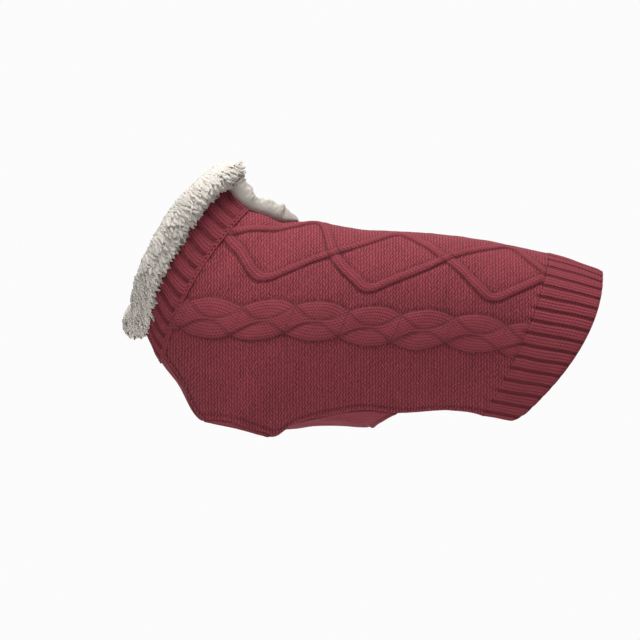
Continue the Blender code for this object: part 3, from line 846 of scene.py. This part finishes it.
def wholeWales(rib, away, pitch, place, hollow):
    # the plain wales that stand between two grooves: their relief and their values
    fromMiddle = np.abs(away) - pitch / 2
    across = (fromMiddle + 0.5 * rib["wale"]) / rib["wale"]
    strandUv = np.stack([across, np.broadcast_to(place / courseHeight, away.shape)], axis=-1)
    return (rib["waleDepth"] * np.cos(2 * math.pi * fromMiddle / rib["wale"]),
            {"groundUv": strandUv * 1.0, "strandUv": strandUv, "smooth": np.ones(away.shape),
             "hollow": hollow})


def makeNeckRib():
    places = spaced(0, placeOf["neckSeam"] - cut["seenGap"], neckRib["rowStep"])
    start = slitHalf(places)
    total = 2 * sum(lengthsAt(places))
    shares = np.linspace(0, 1, neckRib["columns"] + 1)
    girth = start[:, None] + (total - 2 * start)[:, None] * shares
    place, _, points, normals = clothGrid(places, girth)
    mirrored = np.minimum(girth, total[:, None] - girth)
    sway = 0.7 * ripple(girth, place, 21, 40.0)
    groove, away = ribGroove(mirrored + sway, neckRib["firstGroove"], neckRib["pitch"],
                             neckRib["half"])
    strip = np.clip(1 - (mirrored - start[:, None]) / neckRib["turnedEdge"], 0, 1)
    toSeam = bump(places[-1] - place, neckRib["seamWidth"])
    toRim = bump(place, neckRib["rimWidth"])
    # painted shade in the rib grooves and on the turned strip beside the slit
    hollow = np.clip(np.maximum(groove * neckRib["hollow"], strip * 0.9), 0, 1)
    waleRelief, values = wholeWales(neckRib, away, neckRib["pitch"], place, hollow)
    height = neckRib["proud"] + neckRib["top"] * (1 - groove) - neckRib["depth"] * groove
    height = height * (1 - 0.6 * toSeam) - strip * neckRib["turnedDepth"]
    height = height - toRim * neckRib["rimDepth"]
    height = height + 0.3 * ripple(girth, place, 22, 26.0) + waleRelief
    piece = makeCloth("neckRibbing", points, normals, height, neckRib["wall"], values, ribKnit)
    declare(piece, "neck_rib")


def makeRearHem():
    start = placeOf["hemSeam"] + cut["seenGap"]
    corner = sectionPlaces[-1] - cut["hemCorner"]
    turns = corner + cut["hemCorner"] * np.sin(np.linspace(0, math.pi / 2, 9))[1:]
    places = np.concatenate([spaced(start, corner, hemRib["rowStep"]), turns])
    past = np.maximum(places - corner, 0)
    lift = cut["hemCorner"] - np.sqrt(np.maximum(cut["hemCorner"] ** 2 - past ** 2, 0))
    edge = lengthsAt(places)[0] - lift
    girth = edge[:, None] * np.linspace(-1, 1, hemRib["count"] * hemRib["columnsEach"] + 1)
    place, _, points, normals = clothGrid(places, girth)
    sway = 0.5 * ripple(girth, place, 31, 45.0) * np.clip((place - places[0]) / 12.0, 0, 1)
    groove, away = hemGrooves(place, tOf(place, girth + sway))
    toRim = bump(places[-1] - place, hemRib["rimWidth"])
    fromEdge = edge[:, None] - np.abs(girth)
    fromSeam = np.clip((place - places[0]) / panel["hemFade"], 0, 1)
    pitch = lengthsAt(place)[0] / hemRib["count"]
    # painted shade in the rib grooves
    hollow = np.clip(groove * hemRib["hollow"], 0, 1)
    waleRelief, values = wholeWales(hemRib, away, pitch, place, hollow)
    height = hemRib["proud"] + hemRib["top"] * (1 - groove) - hemRib["depth"] * groove
    height = height - toRim - bump(fromEdge, hemRib["sideWidth"])
    height = height + (0.35 * ripple(girth, place, 32, 30.0) + waleRelief) * fromSeam
    piece = makeCloth("rearHemRibbing", points, normals, height, hemRib["wall"], values, ribKnit)
    declare(piece, "rear_hem")


# the linked stitches along the neck seam
chain = {"pitch": 4.4, "legLength": 7.0, "legThick": 2.9, "spread": 2.4, "height": 0.8,
         "pastSeam": 0.9, "fromSlit": 3.0, "leastSize": 0.9, "mostSize": 1.1, "seed": 2, "sides": 6,
         "rings": ((-0.5, 0.25), (-0.3, 0.85), (0.0, 1.0), (0.3, 0.85), (0.5, 0.25))}


def tubeFaces(first, rings, sides):
    # quads along a tube whose points start at first
    return [(first + i * sides + k, first + i * sides + (k + 1) % sides,
             first + (i + 1) * sides + (k + 1) % sides, first + (i + 1) * sides + k)
            for i in range(rings - 1) for k in range(sides)]


def linkTemplate():
    # one V-shaped stitch: two plump legs that meet at the front
    points, faces = [], []
    rings, sides, thick = chain["rings"], chain["sides"], chain["legThick"] / 2
    for side in (1, -1):
        first = len(points)
        last = first + (len(rings) - 1) * sides
        for along, width in rings:
            for k in range(sides):
                turn = 2 * math.pi * k / sides
                across = side * chain["spread"] * (0.55 - 0.75 * along)
                points.append((along * chain["legLength"], across + math.cos(turn) * width * thick,
                               math.sin(turn) * width * thick))
        leg = tubeFaces(first, len(rings), sides)
        leg += [tuple(range(first, first + sides))[::-1], tuple(range(last, last + sides))]
        faces += outwardFaces(np.array(points), leg)
    mesh = newMesh("link", points, faces, bindingKnit)
    mesh.shade_smooth()
    return putInScene("link", mesh)


def chainTree(finish):
    # sets a stitch at each point, turned to the point's own directions
    graph, given, keys = newTree("seamChain", {
        "Stitch": "NodeSocketObject", "Least Size": "NodeSocketFloat",
        "Most Size": "NodeSocketFloat", "Seed": "NodeSocketInt"})
    ways = [graph.add("GeometryNodeInputNamedAttribute", {"data_type": "FLOAT_VECTOR"},
                      {"Name": name}, "Attribute") for name in ("upWay", "seamWay")]
    turned = graph.add("FunctionNodeAxesToRotation", {"primary_axis": "Z", "secondary_axis": "X"},
                       {0: ways[0], 1: ways[1]}, "Rotation")
    size = graph.add("FunctionNodeRandomValue", {"data_type": "FLOAT"},
                     {"Min": given.output("Least Size"), "Max": given.output("Most Size"),
                      "Seed": given.output("Seed")}, "Value")
    stitch = graph.add("GeometryNodeObjectInfo", {}, {"Object": given.output("Stitch")}, "Geometry")
    placed = graph.add("GeometryNodeInstanceOnPoints", {},
                       {"Points": given, "Instance": stitch, "Rotation": turned, "Scale": size},
                       "Instances")
    closeTree(graph, placed, finish)
    return graph, keys


def makeSeamChain():
    place = placeOf["neckSeam"] + chain["pastSeam"]
    first = float(slitHalf(placeOf["neckSeam"])) + chain["fromSlit"]
    last = sum(lengthsAt(placeOf["neckSeam"])) * 2 - first
    girth = np.linspace(first, last, int((last - first) / chain["pitch"]))
    points, normals, _ = bodyFrame(place, tOf(place, girth))
    points = points + normals * (chain["height"] + 0.2 * ripple(girth, 0 * girth, 91, 30.0))[:, None]
    mesh = newMesh("neckSeamLinks", points, [])
    setValues(mesh, {"upWay": normals, "seamWay": unit(np.gradient(points, axis=0))})
    piece = putInScene("neckSeamLinks", mesh)
    template = linkTemplate()
    graph, keys = chainTree(bindingKnit)
    linked = growTree(piece, graph, keys, {"Stitch": template, "Least Size": chain["leastSize"],
                                           "Most Size": chain["mostSize"], "Seed": chain["seed"]})
    bpy.data.objects.remove(template)
    count = len(linked.vertices)
    setValues(linked, {"smooth": np.ones(count), "hollow": np.zeros(count),
                       "groundUv": np.full((count, 2), 0.5), "strandUv": np.full((count, 2), 0.5)})
    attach(piece, "root")


belly = {
    "rowStep": 1.8,
    "holeRows": 41,
    "columns": 81,
    "wale": 3.4,
    "smooth": 0.75,
    "side": {"at": 2.5, "width": 2.0, "height": 0.6, "lip": 1.2, "lipDepth": 0.9},
    "end": {"at": 3.5, "width": 2.4, "height": 1.1, "lip": 1.3, "lipDepth": 0.9},
    "lineAt": 7.0,
    "lineWidth": 1.4,
    "lineDepth": 0.7,
}


def turnedEdge(distance, edge):
    # a soft roll beside an edge that falls away at its lip
    return (bump(distance - edge["at"], edge["width"]) * edge["height"]
            - bump(distance, edge["lip"]) * edge["lipDepth"])


def makeBellyPanel():
    start = placeOf["neckSeam"] + cut["seenGap"]
    slack = holeHalf + cut["holeGap"]
    hole = holeMiddle - slack * np.cos(np.linspace(0, math.pi, belly["holeRows"]))
    edgePlaces = np.concatenate([spaced(start, hole[0], belly["rowStep"])[:-1], hole,
                                 spaced(hole[-1], placeOf["bellyEnd"], belly["rowStep"])[1:]])
    reach = np.maximum(holeReach(edgePlaces, cut["holeInnerReach"], cut["holeGap"]),
                       cut["seamGap"] / 2)
    edge = 1 + reach / lengthsAt(edgePlaces)[1]
    rearStart = placeOf["legRear"]
    shift = np.maximum(edgePlaces - rearStart, 0) / (placeOf["bellyEnd"] - rearStart)
    across = np.linspace(-1, 1, belly["columns"])
    place = edgePlaces[:, None] - cut["bellyEndRise"] * shift[:, None] * (1 - across ** 2)
    t = 2 + across * (2 - edge[:, None])
    t = np.where(t > 4, t - 4, t)
    points, normals, _ = bodyFrame(place, t)
    width = np.abs(girthOf(place, np.minimum(t, 4 - t)))
    run = runDown(points)
    halfWidth = (2 - edge)[:, None] * lengthsAt(place)[1]
    fromSide = (1 - np.abs(across))[None, :] * halfWidth
    fromEnd = run[-1] - run
    line = bump(fromEnd - belly["lineAt"], belly["lineWidth"]) * belly["lineDepth"]
    height = turnedEdge(fromSide, belly["side"]) + turnedEdge(fromEnd, belly["end"]) - line
    height = height + 0.5 * ripple(width, run, 41, 38.0) + 0.9 * ripple(width, run, 42, 90.0)
    # painted shade in the stitch line's groove and along the side edges
    hollow = np.maximum(bump(fromEnd - belly["lineAt"], 1.2), bump(fromSide, 1.2)) * 0.6
    strandUv = np.stack([across[None, :] * halfWidth / belly["wale"], run / courseHeight], axis=-1)
    values = {"groundUv": strandUv * 1.0, "strandUv": strandUv,
              "smooth": np.full(place.shape, belly["smooth"]), "hollow": hollow}
    piece = makeCloth("knitBellyPanel", points, normals, height, panel["wall"], values, bellyKnit)
    declare(piece, "belly_panel")


def ringFaces(sections, sides, closedLength):
    # quads of a tube of rings, which either closes on itself or has a face at each end
    if closedLength:
        count = sections * sides
        return [tuple(number % count for number in face)
                for face in tubeFaces(0, sections + 1, sides)]
    ends = [tuple(range(sides))[::-1], tuple(range((sections - 1) * sides, sections * sides))]
    return tubeFaces(0, sections, sides) + ends


def outwardFaces(points, faces):
    # turns all faces round when the closed shape's volume is negative
    volume = 0.0
    for face in faces:
        a = points[face[0]]
        for k in range(1, len(face) - 1):
            volume += np.dot(a, np.cross(points[face[k]], points[face[k + 1]]))
    return [tuple(face)[::-1] for face in faces] if volume < 0 else faces


binding = {"width": 5.0, "proud": 0.9, "steps": 150, "length": 190.0, "edgePaintedShade": 0.15}
# inset as a share of the width, and lift: from the outer edge over the top and back underneath
bindingOutline = ((0.0, -0.9), (-0.04, -0.35), (0.12, 0.2), (0.42, 0.75), (0.68, 0.9), (0.86, 0.5),
                  (1.0, -0.3), (1.0, -1.1), (0.85, -1.9), (0.5, -2.4), (0.2, -2.2), (0.12, -1.6))


def makeLegBinding(name, node, side):
    turn = np.linspace(0, 2 * math.pi, binding["steps"], endpoint=False)
    rings = []
    for share, lift in bindingOutline:
        inset = share * binding["width"]
        place = holeMiddle + (holeHalf - inset) * np.cos(turn)
        reach = np.where(np.sin(turn) > 0, cut["holeInnerReach"], cut["holeOuterReach"])
        distance = (reach - inset) * np.sin(turn)
        back, under = lengthsAt(place)
        t = side * (1 + distance / np.where(distance <= 0, back, under))
        points, normals, _ = bodyFrame(place, t)
        height = lift * binding["proud"] + 0.15 * ripple(turn * 30, turn * 0, 51, 12.0)
        rings.append(points + normals * np.where(lift > 0, height, lift)[..., None])
    points = np.stack(rings, axis=1).reshape(-1, 3)
    sides = len(bindingOutline)
    faces = outwardFaces(points, ringFaces(binding["steps"], sides, True))
    number = np.arange(len(points))
    run = (number // sides) * binding["length"] / binding["steps"]
    strandUv = np.stack([(number % sides) * 0.8, run / courseHeight], axis=1)
    # painted shade along the binding's outer edge, where it meets the knit
    values = {"groundUv": strandUv * 1.0, "strandUv": strandUv, "smooth": np.ones(len(points)),
              "hollow": np.where(number % sides < 2, binding["edgePaintedShade"], 0.0)}
    piece = makePiece(name, points, faces, values, bindingKnit)
    declare(piece, node)


# share, length, thickness, ahead, lift: from the slit to under the throat
collarRows = np.array((
    (0.00, 25.0, 22.0, 1.5, 13.2),
    (0.10, 25.0, 22.0, 11.5, 11.5),
    (0.22, 29.0, 21.0, 14.8, 4.0),
    (0.55, 34.0, 18.0, 17.3, 2.0),
    (0.85, 33.0, 22.0, 16.8, 4.5),
    (1.00, 27.0, 30.0, 13.8, 7.5),
))
collar = {
    "slitHalf": 6.0,
    "squareness": 2.3,
    "inset": 2.2,           # the roll under the tufts is this much smaller
    "sections": 170,
    "sides": 44,
    "lumps": 1.4,
    "endRounding": 11.0,
    "endLeast": 0.06,       # share of the roll's thickness that is left at its very end
    "tuftSpacing": 2.7,
    "tuftLength": 8.6,
    "tuftThick": 3.8,
    "tuftRise": 0.42,       # how far the tufts stand up, against lying towards the tail
    "lockTurn": 0.55,       # neighbouring tufts lean together into locks
    "scatter": 0.16,
    "formShading": 0.68,    # share of the form's own normals in the tufts' shading
    "seed": 7,
}


def collarSection(t, share, fromEnd, readCollar, tangent):
    # one ring of the roll, and the way the pile lies at each of its points
    length, thick, ahead, lift = readCollar(share)
    end = 1 - min(fromEnd / collar["endRounding"], 1.0)
    shrink = max(math.sqrt(max(1 - end * end, 0)), collar["endLeast"])
    turn = np.linspace(0, 2 * math.pi, collar["sides"], endpoint=False)
    power = 2 / collar["squareness"]
    forward = (np.sign(np.cos(turn)) * np.abs(np.cos(turn)) ** power)[:, None]
    outward = (np.sign(np.sin(turn)) * np.abs(np.sin(turn)) ** power)[:, None]
    point, normal, along = (item[0] for item in bodyFrame(0.0, np.array([t])))
    across, girth = (turn * 16)[:, None], girthOf(0.0, t)
    lumps = collar["lumps"] * ripple(girth, across, 61, 26.0)
    halfLength = (length / 2 - collar["inset"] + lumps) * shrink
    halfThick = (thick / 2 - collar["inset"] + lumps) * shrink
    ring = (point - along * ahead + normal * lift - along * forward * halfLength
            + normal * outward * halfThick)
    lock = collar["lockTurn"] * (1 - end) * ripple(girth, across, 62, 11.0)
    rear = (1.0 + 0.25 * ripple(girth, across, 63, 9.0)) * (1 - 0.75 * end)
    endWay = tangent * (1 if t > 2 else -1)
    flow = (unit(normal * outward - along * forward) * collar["tuftRise"] + along * rear
            + unit(np.cross(normal, along)) * lock + endWay * end)
    return ring, unit(flow)


def makeCollarRoll():
    readCollar = smoothTable(collarRows[:, 0], collarRows[:, 1:])
    start = collar["slitHalf"] / lengthsAt(0.0)[0]
    places = np.linspace(start, 4 - start, collar["sections"])
    girth = girthOf(0.0, places)
    tangents = unit(np.gradient(bodyFrame(0.0, places)[0], axis=0))
    shares = (places - start) / (2 - start)
    sections = [collarSection(t, min(share, 2 - share), min(run - girth[0], girth[-1] - run),
                              readCollar, tangent)
                for t, share, run, tangent in zip(places, shares, girth, tangents)]
    points, flow = (np.stack(rings).reshape(-1, 3) for rings in zip(*sections))
    faces = outwardFaces(points, ringFaces(collar["sections"], collar["sides"], False))
    # the roll is darker than the tufts' average: painted shade in the gaps between tufts
    values = {"tone": np.full(len(points), 0.35), "flow": flow}
    return makePiece("fleeceCollarRoll", points, faces, values, curlyFleece)


# height, lean and width of a tuft at each ring, as shares; its tip is a point
tuftPath = ((-0.15, 0.0, 0.85), (0.25, 0.02, 1.0), (0.60, 0.10, 0.9), (0.86, 0.22, 0.55))
tuftTip = (1.0, 0.34)


def tuftTemplate(sides=5):
    # a short curl of pile that leans over towards its tip
    length, thick = collar["tuftLength"], collar["tuftThick"] / 2
    turns = [2 * math.pi * k / sides for k in range(sides)]
    points = [(lean * length + math.cos(turn) * width * thick, math.sin(turn) * width * thick,
               high * length) for high, lean, width in tuftPath for turn in turns]
    tip, last = len(points), len(points) - sides
    points.append((tuftTip[1] * length, 0.0, tuftTip[0] * length))
    faces = tubeFaces(0, len(tuftPath), sides) + [tuple(range(sides))[::-1]]
    faces += [(last + k, last + (k + 1) % sides, tip) for k in range(sides)]
    mesh = newMesh("tuft", points, faces, curlyFleece)
    mesh.shade_smooth()
    return putInScene("tuft", mesh)


def pileTree(finish):
    # scatters a tuft over a surface, along its flow attribute
    graph, given, keys = newTree("fleecePile", {
        "Tuft": "NodeSocketObject", "Spacing": "NodeSocketFloat", "Density": "NodeSocketFloat",
        "Scatter": "NodeSocketFloat", "Seed": "NodeSocketInt"})
    seed = given.output("Seed")

    def randomly(kind, least, most, ownSeed):
        return graph.add("FunctionNodeRandomValue", {"data_type": kind},
                         {"Min": least, "Max": most, "Seed": ownSeed}, "Value")

    def stored(geometry, kind, name, value):
        return graph.add("GeometryNodeStoreNamedAttribute", {"data_type": kind, "domain": "INSTANCE"},
                         {"Geometry": geometry, "Name": name, "Value": value}, "Geometry")

    roots = graph.add("GeometryNodeDistributePointsOnFaces", {"distribute_method": "POISSON"},
                      {"Mesh": given, "Distance Min": given.output("Spacing"),
                       "Density Max": given.output("Density"), "Seed": seed}, "Points")
    flow = graph.add("GeometryNodeInputNamedAttribute", {"data_type": "FLOAT_VECTOR"},
                     {"Name": "flow"}, "Attribute")
    stray = graph.scale(randomly("FLOAT_VECTOR", (-1, -1, -1), (1, 1, 1), seed),
                        given.output("Scatter"))
    lean = graph.add("ShaderNodeVectorMath", {"operation": "ADD"}, {0: flow, 1: stray}, "Vector")
    aligned = graph.add("FunctionNodeAlignRotationToVector", {"axis": "Z"}, {"Vector": lean},
                        "Rotation")
    twist = graph.add("FunctionNodeAxisAngleToRotation", {},
                      {"Axis": (0, 0, 1), "Angle": randomly("FLOAT", 0.0, 2 * math.pi, 3)},
                      "Rotation")
    turned = graph.add("FunctionNodeRotateRotation", {"rotation_space": "LOCAL"},
                       {"Rotation": aligned, "Rotate By": twist}, "Rotation")
    tuft = graph.add("GeometryNodeObjectInfo", {}, {"Object": given.output("Tuft")}, "Geometry")
    placed = graph.add("GeometryNodeInstanceOnPoints", {},
                       {"Points": roots, "Instance": tuft, "Rotation": turned,
                        "Scale": randomly("FLOAT", 0.72, 1.28, 5)}, "Instances")
    toned = stored(placed, "FLOAT", "tone", randomly("FLOAT", 0.25, 0.75, 9))
    formed = stored(toned, "FLOAT_VECTOR", "formNormal", roots.output("Normal"))
    closeTree(graph, formed, finish)
    return graph, keys


def shadeWithForm(mesh, share):
    # blends each tuft's normals with those of the form it stands on
    count = len(mesh.vertices)
    form, own = np.empty(count * 3), np.empty(count * 3)
    mesh.attributes["formNormal"].data.foreach_get("vector", form)
    mesh.vertex_normals.foreach_get("vector", own)
    form, own = unit(form.reshape(-1, 3)), own.reshape(-1, 3)
    mesh.attributes.remove(mesh.attributes["formNormal"])
    mesh.normals_split_custom_set_from_vertices(unit(form * share + own * (1 - share)).tolist())


def makeCollar():
    rolled = makeCollarRoll()
    pile = putInScene("fleeceCollarPile", rolled.data.copy())
    template = tuftTemplate()
    graph, keys = pileTree(curlyFleece)
    spacing = collar["tuftSpacing"] * mm
    grown = growTree(pile, graph, keys, {
        "Tuft": template, "Spacing": spacing, "Density": 1.6 / spacing ** 2,
        "Scatter": collar["scatter"], "Seed": collar["seed"]})
    shadeWithForm(grown, collar["formShading"])
    bpy.data.objects.remove(template)
    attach(pile, "root")
    declare(rolled, "fleece_collar")


# share, reach, height from the neck rim to the slit's end
trimRows = np.array((
    (0.00, 17.0, 19.0),
    (0.20, 15.0, 16.5),
    (0.40, 13.0, 15.0),
    (0.58, 12.0, 17.0),
    (0.72, 11.0, 18.0),
    (0.86, 9.0, 11.0),
    (1.00, 6.0, 4.5),
))
trim = {
    "start": 9.0,
    "reachPast": 5.0,
    "overhang": 5.8,
    "edge": 1.6,
    "fullness": 0.6,
    "sections": 110,
    "topSides": 30,
    "lowSides": 8,
    "endRounding": 7.0,
    "endLeast": 0.08,
    "clearance": 0.5,       # between the trim and the knit under it
    "lumps": ((70, 20.0, 0.10), (80, 8.0, 0.05)),       # first seed, size and share of the height
}


def makeSlitTrim(name, node, side, seed):
    readTrim = smoothTable(trimRows[:, 0], trimRows[:, 1:])
    end = slitEnd + trim["reachPast"]
    low = np.linspace(1, 0, trim["lowSides"])
    high = np.linspace(0, 1, trim["topSides"])[1:-1]
    across = np.concatenate([low, high])
    crown = np.maximum(np.sin(math.pi * high), 0) ** trim["fullness"]
    rings = []
    for place in np.linspace(trim["start"], end, trim["sections"]):
        toNeck = np.clip((placeOf["neckSeam"] - place) / 3 + 0.5, 0, 1)
        base = trim["clearance"] + neckRib["proud"] * toNeck
        share = (place - trim["start"]) / (end - trim["start"])
        reach, height = readTrim(share)
        ending = 1 - min((end - place) / trim["endRounding"], 1.0)
        shrink = max(math.sqrt(max(1 - ending * ending, 0)), trim["endLeast"])
        first = max(float(slitHalf(place)) - trim["overhang"] * (1 - share), cut["seamGap"])
        lumps = 1.0 + sum(part * ripple(high * 20, place, firstSeed + seed, size)
                          for firstSeed, size, part in trim["lumps"])
        top = (trim["edge"] + (height - trim["edge"]) * crown) * lumps
        rise = np.concatenate([0 * low, top]) * shrink
        girth = first + reach / 2 + (across - 0.5) * reach * (0.35 + 0.65 * shrink)
        points, normals, _ = bodyFrame(place, tOf(place, side * girth))
        rings.append(points + normals * (base + rise)[:, None])
    sides = len(across)
    points = np.stack(rings).reshape(-1, 3)
    faces = outwardFaces(points, ringFaces(len(rings), sides, False))
    number = np.arange(len(points)) % sides
    # painted shade on the trim's low sides, where it sits on the knit
    values = {"tone": np.where(number < trim["lowSides"], 0.1, 0.5)}
    piece = makePiece(name, points, faces, values, flatFleece)
    declare(piece, node)


makeBackPanel()
print("back panel done")
makeNeckRib()
makeSeamChain()
makeRearHem()
makeBellyPanel()
print("ribs and belly done")
makeLegBinding("legBindingLeft", "leg_binding_left", 1)
makeLegBinding("legBindingRight", "leg_binding_right", -1)
makeCollar()
makeSlitTrim("fleeceSlitTrimLeft", "slit_trim_left", 1, 1)
makeSlitTrim("fleeceSlitTrimRight", "slit_trim_right", -1, 2)
print("fleece done")


# sizes in metres
studio = {
    "viewWidth": 0.713,
    "centre": (-0.0446, 0.0, -0.0984),
    "distance": 9.0,
    "sensor": 36.0,
    "floorZ": -0.56,
    "floorRadius": 2.4,
    "ambient": 0.16,
    "backdrop": 0.97,
    # name: place, size, watts
    "lights": {
        "overhead": ((-0.10, -0.60, 1.9), 1.5, 74.0),
        "front": ((-0.9, -2.6, 0.7), 1.6, 13.0),
        "behind": ((0.5, 2.4, 1.2), 1.4, 14.0),
    },
}


def makeFloor():
    turn = np.linspace(0, 2 * math.pi, 96, endpoint=False)
    radius = studio["floorRadius"]
    points = [(radius * math.cos(a), radius * math.sin(a), studio["floorZ"]) for a in turn]
    mesh = bpy.data.meshes.new("paleFloor")
    mesh.from_pydata(points, [], [tuple(range(len(points)))])
    made, graph, shader = newMaterial("palePaper")
    grain = graph.noise(graph.objectSpace(), 3.0)
    graph.link(graph.mix(grain, (0.86, 0.86, 0.86, 1.0), (0.90, 0.90, 0.90, 1.0)), shader,
               "Base Color")
    shader.inputs["Roughness"].default_value = 0.9
    mesh.materials.append(made)
    putInScene("paleFloor", mesh)


def makeLights():
    centre = np.array(studio["centre"])
    for name, (place, size, watts) in studio["lights"].items():
        lamp = bpy.data.lights.new(name, "AREA")
        lamp.shape, lamp.size, lamp.energy = "DISK", size, watts
        holder = putInScene(name, lamp)
        holder.location = place
        aim = unit(centre - np.array(place))
        holder.rotation_euler = (math.acos(-aim[2]), 0.0, math.atan2(aim[0], -aim[1]) + math.pi)
    world = bpy.data.worlds.new("studio")
    scene.world = world
    world.use_nodes = True
    graph = Graph(world.node_tree)
    seen = graph.add("ShaderNodeLightPath", {}, {}, "Is Camera Ray")
    background = world.node_tree.nodes["Background"]
    background.inputs["Color"].default_value = (1.0, 1.0, 1.0, 1.0)
    graph.link(studio["ambient"] + seen * (studio["backdrop"] - studio["ambient"]), background,
               "Strength")


def makeCamera():
    lens = bpy.data.cameras.new("camera")
    lens.sensor_width = studio["sensor"]
    lens.lens = studio["sensor"] * studio["distance"] / studio["viewWidth"]
    lens.clip_end = 100.0
    camera = putInScene("camera", lens)
    x, y, z = studio["centre"]
    camera.location = (x, y - studio["distance"], z)
    camera.rotation_euler = (math.pi / 2, 0.0, 0.0)
    scene.camera = camera


makeFloor()
makeLights()
makeCamera()
scene.view_settings.view_transform = "Standard"
print("studio done")
